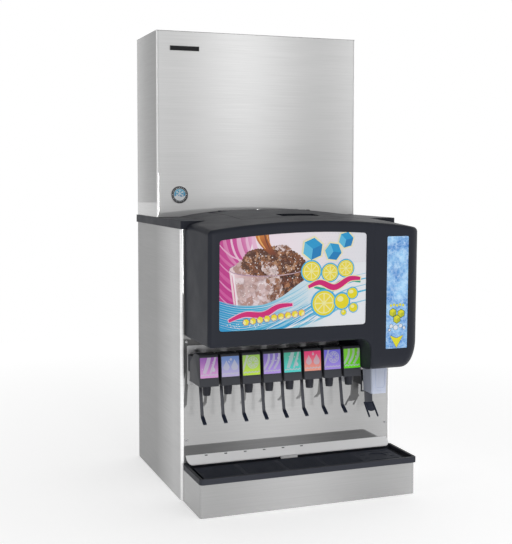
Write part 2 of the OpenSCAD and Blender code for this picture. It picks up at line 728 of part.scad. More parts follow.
ice_pivot = [-48, 372];
ice_lever_x = 270;
strap_w = 29;
foot_w = 32;
ear_x = 15.5;
ear_t = 4;
hook_x = [238.5, 242.5];    // arm and wire hook at the chute's left rear corner
hook_y = [-61.5, -57.5];
hook_z = [329, 369];
module chute_bracket() color(BLACK) at_front() {
    difference() {
        for (sx = [-1, 1])
            block([ice_lever_x + sx * ear_x - (sx < 0 ? ear_t : 0),
                   ice_lever_x + sx * ear_x + (sx > 0 ? ear_t : 0)],
                  [ice_pivot[0] - 8, -2], [ice_pivot[1] - 9, ice_pivot[1] + 12]);
        rod_x([ice_lever_x - 25, ice_lever_x + 25], ice_pivot[0], ice_pivot[1], pivot_r + fit_gap);
    }
    block([hook_x[0], ice_lever_x + 24], [-2, 0], [352, 392]);
    block(hook_x, [hook_y[0], -1], [352, 386]);
    block(hook_x, hook_y, hook_z);
    block([hook_x[0], hook_x[0] + 23], hook_y, [hook_z[0], hook_z[0] + 4]);
}

// Strap that hangs from its pin, bends forward and ends in two prongs
prong_x = 16;
prong_w = 7;
module ice_lever() color(CHARCOAL) at_front() {
    along_x([ice_lever_x - strap_w / 2, ice_lever_x + strap_w / 2])
        polygon([ice_pivot + [-1.8, 0], ice_pivot + [1.8, 0], [-54.2, 288], [-58, 286]]);
    along_x([ice_lever_x - foot_w / 2, ice_lever_x + foot_w / 2])
        polygon([[-58.2, 288.5], [-54.4, 290], [-79, 262.5], [-81, 265.5]]);
    for (sx = [-1, 1])
        along_x([ice_lever_x + sx * prong_x - prong_w / 2, ice_lever_x + sx * prong_x + prong_w / 2])
            polygon([[-58.2, 288.5], [-54.4, 289.5], [-93.5, 246.5], [-98, 250.5]]);
    rod_x([ice_lever_x - strap_w / 2, ice_lever_x + strap_w / 2], ice_pivot[0], ice_pivot[1], 5);
    rod_x([ice_lever_x - ear_x - ear_t + 0.5, ice_lever_x + ear_x + ear_t - 0.5],
          ice_pivot[0], ice_pivot[1], pivot_r);
}

// ---------- valves ----------
rail_y = [-6, -4.5];
rail_z = [384, 512];
rail_x = [-361, 181];
rail_r = 6;
rail_t = rail_y[1] - rail_y[0];
module valve_rail() color(STEEL) at_front() difference() {
    union() {
        along_y(rail_y) polygon(round_rect(rail_x, rail_z, rail_r * [1, 1, 0, 0]));
        for (z = [rail_z[0] + 8, rail_z[1] - rail_t])
            block([rail_x[0] + rail_r, rail_x[1] - rail_r], [rail_y[1] - 0.1, 0.3], [z, z + rail_t]);
    }
    for (i = [1:VALVE_COUNT])
        block([valve_x(i) - 7, valve_x(i) + 7], [rail_y[0] - EPS, rail_y[1] + EPS],
              [line_z - 7, line_z + 7]);
}

valve_low = 408;
valve_front = [-175, -166];      // front face at its bottom and at its top edge
valve_back = -59;
lever_pivot = [-71, 416];
label_z = [436, 499];
function valve_outline(i) = [
    [valve_back, valve_low], [valve_back, 467], [-110, 507], [-162, 507],
    [valve_front[1], 502], [valve_front[0], valve_low + 2], [valve_front[0] + 3, valve_low]];
function valve_face_y(z) = valve_front[0] + (z - valve_low) * (valve_front[1] - valve_front[0]) / 94;

// Slab on the valves' leaning front face, between two depths behind it
module label_slab(depth, x) {
    along_x(x) polygon([for (p = [[0, 0], [0, 1], [1, 1], [1, 0]])
        [valve_face_y(label_z[p[1]]) + depth[p[0]], label_z[p[1]]]]);
}

module valve(i) color(CHARCOAL) at_front() {
    x = valve_x(i);
    difference() {
        union() {
            along_x([x - valve_w / 2, x + valve_w / 2]) polygon(valve_outline(0));
            block([x - 20, x + 20], [valve_back - 1, rail_y[0]], [430, 484]);
        }
        label_slab([-EPS, 1.2], [x - label_w / 2 - 0.3, x + label_w / 2 + 0.3]);
        block([x - 7, x + 7], [-86, valve_back + EPS], [valve_low - EPS, lever_pivot[1] + 8]);
        rod_x([x - 14, x + 14], lever_pivot[0], lever_pivot[1], pivot_r + fit_gap);
    }
}

module valve_labels() color("orchid") at_front()
    for (i = [1:VALVE_COUNT])
        label_slab([0.1, 1.1], [valve_x(i) - label_w / 2, valve_x(i) + label_w / 2]);

nozzle_y = -143;
nozzle_low = 376;
module valve_nozzles() color(BLACK) at_front()
    for (i = [1:VALVE_COUNT]) difference() {
        union() {
            rod_z(valve_x(i), nozzle_y, [nozzle_low + 15, valve_low], nozzle_r + 2);
            rod_z(valve_x(i), nozzle_y, [nozzle_low, nozzle_low + 16], nozzle_r);
        }
        rod_z(valve_x(i), nozzle_y, [nozzle_low - EPS, valve_low - 4], nozzle_r - 3);
    }

lever_bend = [-96.5, 298.5];
lever_tip = [-127, 279.5];
module lever(i) color(CHARCOAL) at_front() {
    x = valve_x(i);
    along_x([x - lever_w / 2, x + lever_w / 2])
        polygon([lever_pivot + [-1.6, 0], lever_pivot + [1.6, 0],
                 lever_bend + [2.4, -1], lever_bend + [-1.4, 1]]);
    along_x([x - lever_w / 2 - 1.4, x + lever_w / 2 + 1.4])
        polygon([lever_bend + [-1.4, 1], lever_bend + [2.4, -1], lever_tip + [1, -3.4], lever_tip]);
    rod_x([x - 6, x + 6], lever_pivot[0], lever_pivot[1], 5);
    rod_x([x - 13.5, x + 13.5], lever_pivot[0], lever_pivot[1], pivot_r);
}

// ---------- fasteners ----------
screw_r = 4;
screw_h = 1.8;
module screws() color(BRIGHT) at_front() {
    // Splash panel
    for (x = [-362, 362], z = [200, 524]) rod_y(x, [splash_y[0] - screw_h, splash_y[0]], z, screw_r);
    // Thumb screw and screws of the valve rail
    rod_y(rail_x[0] + 30, [rail_y[0] - 10, rail_y[0]], rail_z[1] - 16.5, 5);
    rod_y(rail_x[0] + 10, [rail_y[0] - screw_h, rail_y[0]], rail_z[0] + 14, screw_r);
    rod_y(rail_x[1] - 5, [rail_y[0] - screw_h, rail_y[0]], rail_z[0] + 8, screw_r);
    // Rear panels
    rear_y = [cab_d - 0.4, cab_d - 0.4 + screw_h];
    for (sx = [-1, 1], z = [60, 300, 600, 850]) rod_y(sx * 364, rear_y, z, screw_r);
    for (sx = [-1, 1], z = [60, 330, 600]) rod_y(sx * 366, rear_y, top_z + z, screw_r);
}

cabinet_base();
cabinet_left_panel();
cabinet_right_panel();
cabinet_rear_panel();
splash_panel();
splash_ledge();
top_plate();
tray_skirt();
drip_tray();
cup_rest();
maker_base();
maker_left_panel();
maker_right_panel();
maker_front_panel();
maker_rear_panel();
maker_top_panel();
maker_badges();
evaporator();
auger();
gear_motor();
compressor();
condenser();
condenser_fan();
fan_motor();
control_box();
water_reservoir();
ice_spout();
ice_hopper();
agitator();
agitator_motor();
cold_plate();
product_lines();
hood();
display_panel();
strip_panel();
fill_lid();
ice_chute();
ice_gate();
chute_bracket();
ice_lever();
valve_rail();
valve_labels();
valve_nozzles();
screws();
for (i = [1:VALVE_COUNT]) valve(i);
for (i = [1:VALVE_COUNT]) lever(i);
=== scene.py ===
"""Looks of the fountain soda dispenser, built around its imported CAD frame.

Lengths are millimetres in the cabinet's own frame: X to the customer's right, Y back from the
cabinet's front face, Z up from the counter. place() turns them into the frame's metres. Lamps
and noise scales are in metres.
"""
import json
import math
import random

import bmesh
import bpy
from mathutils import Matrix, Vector


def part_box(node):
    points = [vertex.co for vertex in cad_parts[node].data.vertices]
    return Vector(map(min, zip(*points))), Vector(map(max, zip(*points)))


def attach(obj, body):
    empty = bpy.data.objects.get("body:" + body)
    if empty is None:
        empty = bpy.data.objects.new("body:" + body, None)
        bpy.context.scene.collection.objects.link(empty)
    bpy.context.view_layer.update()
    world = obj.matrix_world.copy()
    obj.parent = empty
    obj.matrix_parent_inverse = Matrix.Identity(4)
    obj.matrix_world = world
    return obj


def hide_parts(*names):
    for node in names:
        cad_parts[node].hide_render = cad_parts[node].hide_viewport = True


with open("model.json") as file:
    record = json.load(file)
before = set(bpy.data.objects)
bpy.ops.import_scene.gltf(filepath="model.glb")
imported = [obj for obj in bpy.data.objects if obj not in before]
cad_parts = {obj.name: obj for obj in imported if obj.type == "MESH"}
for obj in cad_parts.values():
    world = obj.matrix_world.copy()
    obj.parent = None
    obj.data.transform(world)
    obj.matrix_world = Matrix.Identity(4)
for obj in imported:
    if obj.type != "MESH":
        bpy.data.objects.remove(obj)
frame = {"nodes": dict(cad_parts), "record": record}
bpy.context.view_layer.update()
random.seed(11)

MM = 0.001
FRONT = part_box("cabinet_left_panel")[0].y


def place(p):
    return (p[0] * MM, FRONT + p[1] * MM, p[2] * MM)


def span(node):
    """A CAD node's box as ((x0, x1), (y0, y1), (z0, z1))."""
    lo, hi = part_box(node)
    return tuple((a / MM - off, b / MM - off) for a, b, off in zip(lo, hi, (0, FRONT / MM, 0)))


# ---------- camera, light and floor ----------
CAMERA_AT = (-1280.0, -3143.1, 1057.5)
CAMERA_YAW = 20.246      # degrees to the right of straight back
CAMERA_PITCH = -2.875
CAMERA_LENS = 66.934
CAMERA_SHIFT = -0.08


def make_camera():
    data = bpy.data.cameras.new("camera")
    data.lens, data.shift_y = CAMERA_LENS, CAMERA_SHIFT
    data.clip_end = 60
    camera = bpy.data.objects.new("camera", data)
    camera.location = place(CAMERA_AT)
    camera.rotation_euler = (math.radians(90 + CAMERA_PITCH), 0, math.radians(-CAMERA_YAW))
    bpy.context.scene.collection.objects.link(camera)
    bpy.context.scene.camera = camera


def lamp(name, kind, at, aim, watts, **settings):
    """Lamp at a place in the frame's metres, aimed at another."""
    data = bpy.data.lights.new(name, kind)
    data.energy = watts
    for key, value in settings.items():
        setattr(data, key, value)
    made = bpy.data.objects.new(name, data)
    made.location = at
    made.rotation_euler = (Vector(aim) - Vector(at)).to_track_quat("-Z", "Y").to_euler()
    bpy.context.scene.collection.objects.link(made)
    return made


def area_light(name, at, aim, size, watts):
    made = lamp(name, "AREA", at, aim, watts, shape="RECTANGLE", size=size[0], size_y=size[1])
    made.visible_camera = False


def low_spot(name, at, aim, cone, watts):
    """Narrow lamp whose upper edge stays under the valves; it throws the levers' shadows on the
    splash panel."""
    made = lamp(name, "SPOT", at, aim, watts, spot_size=math.radians(cone), spot_blend=0.12,
                shadow_soft_size=0.04)
    made.visible_glossy = False


# The room's brightness along each axis: where the ramp starts and ends, its first and last value
ROOM = (("X", -0.35, 0.08, 0.34, 1.0), ("Y", -0.6, 0.0, 0.52, 1.0), ("Z", 0.2, 0.9, 1.0, 0.6))


def make_world():
    """Soft white room, dimmer on the left, behind the camera and overhead."""
    world = bpy.data.worlds.new("studio")
    world.use_nodes = True
    bpy.context.scene.world = world
    toward = add_node(world, "TexCoord").outputs["Generated"]
    split = add_node(world, "SeparateXYZ", {0: toward})
    strength = 1.0
    for axis, start, end, low, high in ROOM:
        ramp = map_range(world, split.outputs[axis], low, high, start, end, interpolation_type="SMOOTHSTEP")
        strength = times(world, ramp, strength)
    background = world.node_tree.nodes["Background"]
    world.node_tree.links.new(strength, background.inputs["Strength"])
    background.inputs["Color"].default_value = (1, 1, 1, 1)


FLOOR_R, FLOOR_SIDES, FLOOR_TONE = 40, 64, (0.8, 0.8, 0.8)      # radius in metres


def make_floor():
    """Pale floor that fades into the room's white, and glows less towards the camera."""
    mesh = bpy.data.meshes.new("floor")
    turns = [k * math.tau / FLOOR_SIDES for k in range(FLOOR_SIDES)]
    mesh.from_pydata([(FLOOR_R * math.cos(a), FLOOR_R * math.sin(a), 0) for a in turns], [],
                     [list(range(FLOOR_SIDES))])
    floor = bpy.data.objects.new("floor", mesh)
    bpy.context.scene.collection.objects.link(floor)
    mat = principled("floor_white", FLOOR_TONE, rough=0.8, Specular_IOR_Level=0.0,
                     Emission_Color=(1, 1, 1, 1))
    reach = add_node(mat, "VectorMath", {0: object_coords(mat)}, operation="LENGTH").outputs["Value"]
    drive(mat, "Emission Strength", times(mat, map_range(mat, reach, 0.52, 1.0, 0.6, 3.0),
                                          map_range(mat, object_axis(mat, "Y"), 0.56, 1.0, -3.2, -1.4)))
    drive(mat, "Base Color", mix_colors(mat, map_range(mat, reach, 0.0, 1.0, 0.6, 3.2), FLOOR_TONE,
                                        (0, 0, 0)))
    floor.data.materials.append(mat)


# ---------- materials ----------
def add_node(owner, kind, values=None, **settings):
    """Shader node in a material or world. values gives its inputs, each a number or another
    node's output; settings are its own properties."""
    node = owner.node_tree.nodes.new("ShaderNode" + kind)
    for key, value in settings.items():
        setattr(node, key, value)
    for key, value in (values or {}).items():
        if isinstance(value, bpy.types.NodeSocket):
            owner.node_tree.links.new(value, node.inputs[key])
        else:
            node.inputs[key].default_value = value
    return node


def times(owner, first, second):
    return add_node(owner, "Math", {0: first, 1: second}, operation="MULTIPLY").outputs[0]


def map_range(owner, value, low, high, start=0.3, end=0.7, **settings):
    """The value's run from start to end, stretched to run from low to high."""
    values = {"Value": value, "From Min": start, "From Max": end, "To Min": low, "To Max": high}
    return add_node(owner, "MapRange", values, **settings).outputs["Result"]


def object_coords(mat):
    return add_node(mat, "TexCoord").outputs["Object"]


def object_axis(mat, axis):
    return add_node(mat, "SeparateXYZ", {0: object_coords(mat)}).outputs[axis]


def mix_colors(mat, factor, first, second):
    """Colour between two, each a colour or another node's output."""
    tones = [tone if isinstance(tone, bpy.types.NodeSocket) else (*tone, 1) for tone in (first, second)]
    return add_node(mat, "Mix", {"Factor": factor, "A": tones[0], "B": tones[1]},
                    data_type="RGBA").outputs["Result"]


def principled(name, color, rough=0.5, metal=0.0, **sockets):
    """Principled material; further sockets are given by name, with _ for a space."""
    mat = bpy.data.materials.new(name)
    mat.use_nodes = True
    shader = mat.node_tree.nodes["Principled BSDF"]
    values = {"Base Color": (*color, 1), "Roughness": rough, "Metallic": metal}
    values.update({key.replace("_", " "): value for key, value in sockets.items()})
    for key, value in values.items():
        shader.inputs[key].default_value = value
    mat.diffuse_color = (*color, 1)
    return mat


def object_noise(mat, scale, stretch=(1, 1, 1), detail=3.0):
    """Noise in object space. scale is per metre."""
    mapping = add_node(mat, "Mapping", {"Vector": object_coords(mat), "Scale": stretch})
    values = {"Vector": mapping.outputs["Vector"], "Scale": scale, "Detail": detail}
    return add_node(mat, "TexNoise", values).outputs["Fac"]


def add_bump(mat, height, depth):
    """depth is the bump's height in metres."""
    drive(mat, "Normal", add_node(mat, "Bump", {"Height": height, "Distance": depth}).outputs["Normal"])


def drive(mat, socket, value):
    mat.node_tree.links.new(value, mat.node_tree.nodes["Principled BSDF"].inputs[socket])


def shade(color, factor):
    return tuple(c * factor for c in color)


GRAIN_SCALE = 900.0        # leather grain of moulded plastic: cells per metre
GRAIN_DEPTH = 0.00006      # and its depth in metres


def moulded(name, color, rough=0.45, metal=0.0, spread=0.12, gloss=0.5):
    """Moulded plastic: fine leather grain in the surface and slightly uneven gloss."""
    mat = principled(name, color, rough, metal, Specular_IOR_Level=gloss)
    fine = object_noise(mat, GRAIN_SCALE, detail=2.0)
    broad = object_noise(mat, 14.0)
    drive(mat, "Base Color", mix_colors(mat, broad, shade(color, 1 - spread), shade(color, 1 + spread)))
    drive(mat, "Roughness", map_range(mat, broad, rough - 0.04, rough + 0.04))
    add_bump(mat, fine, GRAIN_DEPTH)
    return mat


def painted_reflection_cosine(mat, axis, peak, period):
    """Painted reflection band across the object: a cosine of one coordinate, in metres."""
    value = object_axis(mat, axis)
    for operation, number in (("SUBTRACT", peak), ("MULTIPLY", math.tau / period), ("COSINE", 0.0)):
        value = add_node(mat, "Math", {0: value, 1: number}, operation=operation).outputs[0]
    return value


def brushed(name, tone, rough=0.52, mirror=0.3, metal=0.35, painted_reflection_band=("X", -0.055, 0.57, 0.2), painted_shade_ramp=None,
            gloss=0.2):
    """Steel brushed across: fine streaks and one soft band of painted reflection, under a clear mirror
    layer.
    The band is (axis, where it is brightest, period, strength); the fade, painted shade, is (axis,
    where it is darkest, where it is full, brightness where darkest)."""
    mirror_ior = (1 + math.sqrt(mirror)) / (1 - math.sqrt(mirror)) if mirror else 1.5
    color = (tone, tone, tone)
    mat = principled(name, color, rough, metal, Specular_IOR_Level=gloss,
                     Coat_Weight=1.0 if mirror else 0.0,
                     Coat_Roughness=0.015, Coat_IOR=mirror_ior)
    streaks = object_noise(mat, 1.0, (5, 5, 420), detail=2.0)
    broad = object_noise(mat, 1.0, (3.0, 3.0, 14.0), detail=2.0)
    axis, peak, period, strength = painted_reflection_band
    # painted reflection: the band lightens and darkens the steel's colour across the object
    value = map_range(mat, painted_reflection_cosine(mat, axis, peak, period), 1 - strength, 1 + strength, -1.0, 1.0)
    value = times(mat, value, map_range(mat, streaks, 0.955, 1.045))
    value = times(mat, value, map_range(mat, broad, 0.97, 1.03))
    # painted shade: the colour darkens along one axis
    if painted_shade_ramp:
        axis, dark_at, full_at, darkest = painted_shade_ramp
        value = times(mat, value, map_range(mat, object_axis(mat, axis), darkest, 1.0, dark_at, full_at))
    drive(mat, "Base Color", add_node(mat, "VectorMath", {0: color, "Scale": value},
                                      operation="SCALE").outputs[0])
    drive(mat, "Roughness", map_range(mat, broad, rough - 0.03, rough + 0.03))
    return mat


# ---------- mesh helpers ----------
def mesh_object(name, vertices, faces):
    mesh = bpy.data.meshes.new(name)
    mesh.from_pydata([place(p) for p in vertices], [], faces)
    made = bpy.data.objects.new(name, mesh)
    bpy.context.scene.collection.objects.link(made)
    return made


def new_piece(name, vertices, faces, materials, body="dispenser", slot=None, replaces=(), indices=None,
              keep_sides=False):
    """Mesh piece from points in this script's millimetres, riding on a CAD body."""
    piece = mesh_object(name, vertices, faces)
    for mat in materials if isinstance(materials, (list, tuple)) else [materials]:
        piece.data.materials.append(mat)
    if indices:
        piece.data.polygons.foreach_set("material_index", indices)
    if not keep_sides:
        tidy_normals(piece)
    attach(piece, body)
    if replaces:
        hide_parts(*replaces)
    return piece


def tidy_normals(piece):
    work = bmesh.new()
    work.from_mesh(piece.data)
    bmesh.ops.recalc_face_normals(work, faces=work.faces)
    work.to_mesh(piece.data)
    work.free()


def smooth(piece, angle=35.0):
    piece.data.polygons.foreach_set("use_smooth", [True] * len(piece.data.polygons))
    piece.data.set_sharp_from_angle(angle=math.radians(angle))


def apply_modifiers(piece):
    """Bakes a piece's modifiers into its mesh."""
    bpy.context.view_layer.update()
    graph = bpy.context.evaluated_depsgraph_get()
    mesh = bpy.data.meshes.new_from_object(piece.evaluated_get(graph))
    piece.modifiers.clear()
    piece.data = mesh


def thicken(piece, thickness):
    """Gives an open sheet a wall behind its face."""
    modifier = piece.modifiers.new("wall", "SOLIDIFY")
    modifier.thickness, modifier.offset = thickness * MM, -1
    apply_modifiers(piece)


def soften(piece, width=0.8, segments=2, angle=40.0):
    """Small bevel on the sharp edges, with flat faces kept flat."""
    modifier = piece.modifiers.new("edges", "BEVEL")
    modifier.width, modifier.segments = width * MM, segments
    modifier.limit_method, modifier.angle_limit = "ANGLE", math.radians(angle)
    modifier.use_clamp_overlap = False
    modifier.harden_normals = True


def cut(piece, vertices, faces, operation="DIFFERENCE"):
    """Boolean with a closed cutter, applied at once."""
    cutter = mesh_object("cutter", vertices, faces)
    mesh = cutter.data
    tidy_normals(cutter)
    modifier = piece.modifiers.new("cut", "BOOLEAN")
    modifier.operation, modifier.solver, modifier.object = operation, "EXACT", cutter
    apply_modifiers(piece)
    bpy.data.objects.remove(cutter)
    bpy.data.meshes.remove(mesh)


def loft(rings, closed=True, caps=True):
    """Vertices and faces through rings of equal length."""
    count = len(rings[0])
    vertices = [p for ring in rings for p in ring]
    faces = []
    for r in range(len(rings) - 1):
        for k in range(count if closed else count - 1):
            a, b = r * count + k, r * count + (k + 1) % count
            faces.append((a, b, b + count, a + count))
    if caps:
        faces.append(tuple(reversed(range(count))))
        faces.append(tuple(range(len(vertices) - count, len(vertices))))
    return vertices, faces


def prism(outline, z):
    """Upright solid between two heights; the outline is in X and Y."""
    return loft([[(a, b, h) for a, b in outline] for h in z])


def rectangle(x, y):
    return [(x[0], y[0]), (x[1], y[0]), (x[1], y[1]), (x[0], y[1])]


def box_mesh(x, y, z):
    return prism(rectangle(x, y), z)


def joined(*parts):
    """Several (vertices, faces) pairs as one."""
    vertices, faces = [], []
    for points, polygons in parts:
        start = len(vertices)
        vertices += points
        faces += [tuple(k + start for k in polygon) for polygon in polygons]
    return vertices, faces


def around(x, z, r, degrees):
    """Point at an angle around a centre."""
    return (x + r * math.cos(math.radians(degrees)), z + r * math.sin(math.radians(degrees)))


def between(p, q, t):
    """Point part of the way from one to another."""
    return tuple(a + (b - a) * t for a, b in zip(p, q))


def normals(path):
    """Unit normal at each point of a path, to the left of its direction."""
    made = []
    for k in range(len(path)):
        (ax, ay), (bx, by) = path[max(0, k - 1)], path[min(len(path) - 1, k + 1)]
        length = math.hypot(bx - ax, by - ay) or 1
        made.append((-(by - ay) / length, (bx - ax) / length))
    return made


def arc(cx, cy, rx, ry, start, end, steps):
    """Points on an ellipse's arc; angles in degrees."""
    return [(cx + rx * math.cos(math.radians(start + (end - start) * k / steps)),
             cy + ry * math.sin(math.radians(start + (end - start) * k / steps))) for k in range(steps + 1)]


def round_rect(x, y, r, steps=6):
    """Rectangle with rounded corners; r is [left low, right low, right high, left high]."""
    corners = ((x[0], y[0], 1, 1, 180), (x[1], y[0], -1, 1, 270), (x[1], y[1], -1, -1, 0),
               (x[0], y[1], 1, -1, 90))
    points = []
    for (cx, cy, sx, sy, start), radius in zip(corners, r):
        points += arc(cx + sx * radius, cy + sy * radius, radius, radius, start, start + 90, steps)
    return points


def smoothstep(low, high, value):
    t = min(1.0, max(0.0, (value - low) / (high - low)))
    return t * t * (3 - 2 * t)


def rod(p, q, r, sides=24):
    """Closed cylinder between two points."""
    axis = (Vector(q) - Vector(p)).normalized()
    u = axis.orthogonal().normalized()
    v = axis.cross(u)
    turns = [k * math.tau / sides for k in range(sides)]
    return loft([[tuple(Vector(c) + r * (math.cos(a) * u + math.sin(a) * v)) for a in turns]
                 for c in (p, q)])


# ---------- hood ----------
HOOD_X, HOOD_Y, HOOD_Z = span("hood")
STRIP_X, _, STRIP_Z = span("strip_panel")
SHOW_X, _, SHOW_Z = span("display_panel")
LID_X, _, _ = span("fill_lid")
_, PLATE_Y, PLATE_Z = span("top_plate")
LEDGE_Z = 541.0            # bottom edge of the hood beside the ice column
FACE_Y = -250.0            # front face at that height
LEAN = 8 / 359             # how far the face comes forward for each millimetre of height
HOOD_REAR = -2.0
HOOD_WALL = 3.0
SIDE_R, TOP_R, UNDER_R = 14.0, 14.0, 10.0      # rounding of the left, top and bottom edges
CORNER_R = 56.0            # right front corner, and the roll under the ice column
CORNER_RISE = 39.0         # how much taller the roll gets towards the right side
COLUMN_X = 184.0           # left side of the ice column
FILLET_R = 40.0            # inside corner between the hood's bottom and the column
ARCH_X, ARCH_TOP, ARCH_R = -12.0, 923.5, 2450.0
CREST_Y, CREST_TOP, CREST_R, BACK_R = 147.0, 948.0, 1597.0, 1022.0
COLUMN_SETBACK = 4.0       # how far the ice column's face lies behind the rest


def face_y(z):
    return FACE_Y - (z - LEDGE_Z) * LEAN


def dome(x, y):
    """Height of the hood's top; the arches meet in soft ridges."""
    start = face_y(ARCH_TOP) + TOP_R
    slope = (CREST_TOP - ARCH_TOP) / (CREST_Y - start)
    front = ARCH_TOP + (y - start) * slope - (x - ARCH_X) ** 2 / 2 / ARCH_R
    crest = CREST_TOP - x * x / 2 / CREST_R
    back = CREST_TOP - max(0.0, y - CREST_Y) ** 2 / 2 / BACK_R
    softness = 1.2
    return -softness * math.log(sum(math.exp(-(h - crest) / softness)
                                    for h in (front, crest, back))) + crest


def rounding(gap, r):
    """How far a rounded edge falls back at a distance from the edge."""
    return r - math.sqrt(max(0.0, r * r - max(0.0, r - gap) ** 2))


def roll_height(x):
    return CORNER_R + CORNER_RISE * smoothstep(HOOD_X[1] - CORNER_R, HOOD_X[1], x)


def hood_stations():
    """Front outline of the hood: (x, bottom, top) from left to right."""
    left, right = HOOD_X
    bottom = arc(left + UNDER_R, LEDGE_Z + UNDER_R, UNDER_R, UNDER_R, 180, 270, 8)
    bottom.append((left + SIDE_R, LEDGE_Z))
    x = left + SIDE_R
    while x < COLUMN_X - FILLET_R - 12:
        x += 9.5
        bottom.append((x, LEDGE_Z))
    bottom += arc(COLUMN_X - FILLET_R, LEDGE_Z - FILLET_R, FILLET_R, FILLET_R, 90, 4, 10)
    bottom += arc(COLUMN_X + UNDER_R, HOOD_Z[0] + UNDER_R, UNDER_R, UNDER_R, 180, 270, 8)
    x = COLUMN_X + UNDER_R
    while x < right - CORNER_R - 10:
        x += 9.0
        bottom.append((x, HOOD_Z[0]))
    for k in range(19):
        across = math.sin(math.pi / 2 * k / 18)
        x = right - CORNER_R + CORNER_R * across
        bottom.append((x, HOOD_Z[0] + roll_height(x) * (1 - math.sqrt(max(0.0, 1 - across * across)))))
    edge_y = face_y(ARCH_TOP) + TOP_R
    return [(x, low, dome(x, edge_y) - rounding(min(x - left, right - x), TOP_R)) for x, low in bottom]


def edge_distance(x, z, stations):
    """Distance from a point of the face to the outline left of the column, and under the hood."""
    best = 1e9
    for (x0, z0, _), (x1, z1, _) in zip(stations, stations[1:]):
        if x0 > COLUMN_X + 0.1:
            break
        dx, dz = x1 - x0, z1 - z0
        t = min(1.0, max(0.0, ((x - x0) * dx + (z - z0) * dz) / (dx * dx + dz * dz + 1e-9)))
        best = min(best, math.hypot(x - x0 - t * dx, z - z0 - t * dz))
    return best


def hood_face(x, z, stations):
    """Y of the moulded face at a point of the front view."""
    left, right = HOOD_X
    inset = rounding(dome(x, face_y(ARCH_TOP) + TOP_R) - z, TOP_R)
    if x < COLUMN_X + UNDER_R and z < LEDGE_Z + UNDER_R:
        near_column = x > COLUMN_X - FILLET_R - UNDER_R
        gap = edge_distance(x, z, stations) if near_column else z - LEDGE_Z
        inset = rounding(x - COLUMN_X if x > COLUMN_X and z < LEDGE_Z - FILLET_R else gap, UNDER_R)
    side, r = (left + SIDE_R - x, SIDE_R) if x < 0 else (x - right + CORNER_R, CORNER_R)
    below = roll_height(x) - (z - HOOD_Z[0])
    if x > COLUMN_X and below > 0:
        if side > 0:
            inset = r * (1 - math.sqrt(max(0.0, 1 - (side / r) ** 2 - (below / roll_height(x)) ** 2)))
        else:
            inset = CORNER_R - math.sqrt(max(0.0, (CORNER_R - inset) ** 2 - below ** 2))
    elif side > 0:
        inset = r - math.sqrt(max(0.0, (r - inset) ** 2 - side ** 2))
    return face_y(z) + inset + COLUMN_SETBACK * smoothstep(173, 193, x)


def spaced(start, end, first, last, middle=26):
    """Steps along a line, closer together over a length at each end."""
    first, last = min(first, (end - start) * 0.45), min(last, (end - start) * 0.45)
    steps = [start + first * (1 - math.cos(math.pi / 2 * k / 13)) for k in range(13)]
    steps += [start + first + (end - last - start - first) * k / middle for k in range(middle)]
    return steps + [end - last * (1 - math.cos(math.pi / 2 * k / 9)) for k in range(9, -1, -1)]


def hood_rings():
    rings = []
    stations = hood_stations()
    deck = PLATE_Z[1] - 6
    rear = HOOD_Y[1]
    for x, low, top in stations:
        roll = roll_height(x) if x > COLUMN_X - 0.01 else UNDER_R
        front = [(x, hood_face(x, z, stations), z) for z in spaced(low, top, roll, TOP_R)]
        y_low, y_top = front[0][1], front[-1][1]
        ring = [(x, HOOD_REAR + (y_low - HOOD_REAR) * k / 20, low) for k in range(20)]
        ring += front
        rise = dome(x, y_top)
        for k in range(1, 61):
            y = y_top + (rear - y_top) * k / 60
            ring.append((x, y, top + dome(x, y) - rise))
        ring.append((x, rear, min(deck, ring[-1][2] - 8)))
        ring.append((x, HOOD_REAR, PLATE_Z[0] - 12))
        rings.append(ring)
    return rings


def show_outline(i):
    """Front view of the display, drawn inwards by i: flat bottom and arched top."""
    x0, x1 = SHOW_X[0] + i, SHOW_X[1] - i
    r = 10.0 - i
    low = SHOW_Z[0] + i
    top = lambda x: SHOW_Z[1] - i - (x - ARCH_X) ** 2 / 2 / ARCH_R
    points = arc(x0 + r, low + r, r, r, 180, 270, 6) + arc(x1 - r, low + r, r, r, 270, 360, 6)
    points += arc(x1 - r, top(x1 - r) - r, r, r, 0, 90, 6)
    points += [(x, top(x)) for x in (x1 - r + (x0 - x1 + 2 * r) * k / 24 for k in range(1, 24))]
    return points + arc(x0 + r, top(x0 + r) - r, r, r, 90, 180, 6)


def strip_outline(i):
    return round_rect((STRIP_X[0] + i, STRIP_X[1] - i), (STRIP_Z[0] + i, STRIP_Z[1] - i), [4 - i] * 4)


def window_cutter(outline, setback, chamfer=1.4):
    """Cutter with a chamfered mouth on the leaning face."""
    rings = []
    for depth, i in ((-6.0, -6.0 - chamfer), (chamfer, 0.0), (40.0, 0.0)):
        rings.append([(x, face_y(z) + depth + setback, z) for x, z in outline(i)])
    return loft(rings)


def lid_outline(grow, r):
    return round_rect((LID_X[0] - grow, LID_X[1] + grow), (LID_TOP_Y[0] - grow, LID_TOP_Y[1] + grow),
                      [r, r, 0.1, 0.1])


LID_TOP_Y = (-108.0, 228.0)
LID_OPEN_BACK = 250.0
LID_GAP = 2.2
LID_CUT_Z = (900, 980)     # heights of cutters that pass right through the lid
PIVOT = (239.0, 937.0)      # hinge line of the fill lid, in Y and Z
CHUTE_X, CHUTE_Y, CHUTE_Z = span("ice_chute")
NECK_X, NECK_Y = (238.0, 302.0), (-137.0, -66.0)      # the chute where it leaves the hood
MOUTH_X, MOUTH_Y = (245.0, 300.0), (-130.0, -62.0)
OUTLET_X, OUTLET_Z = (232.0, 296.0), (604.0, 676.0)
ICE_LEVER_X = 270.0
SHEET = 1.2


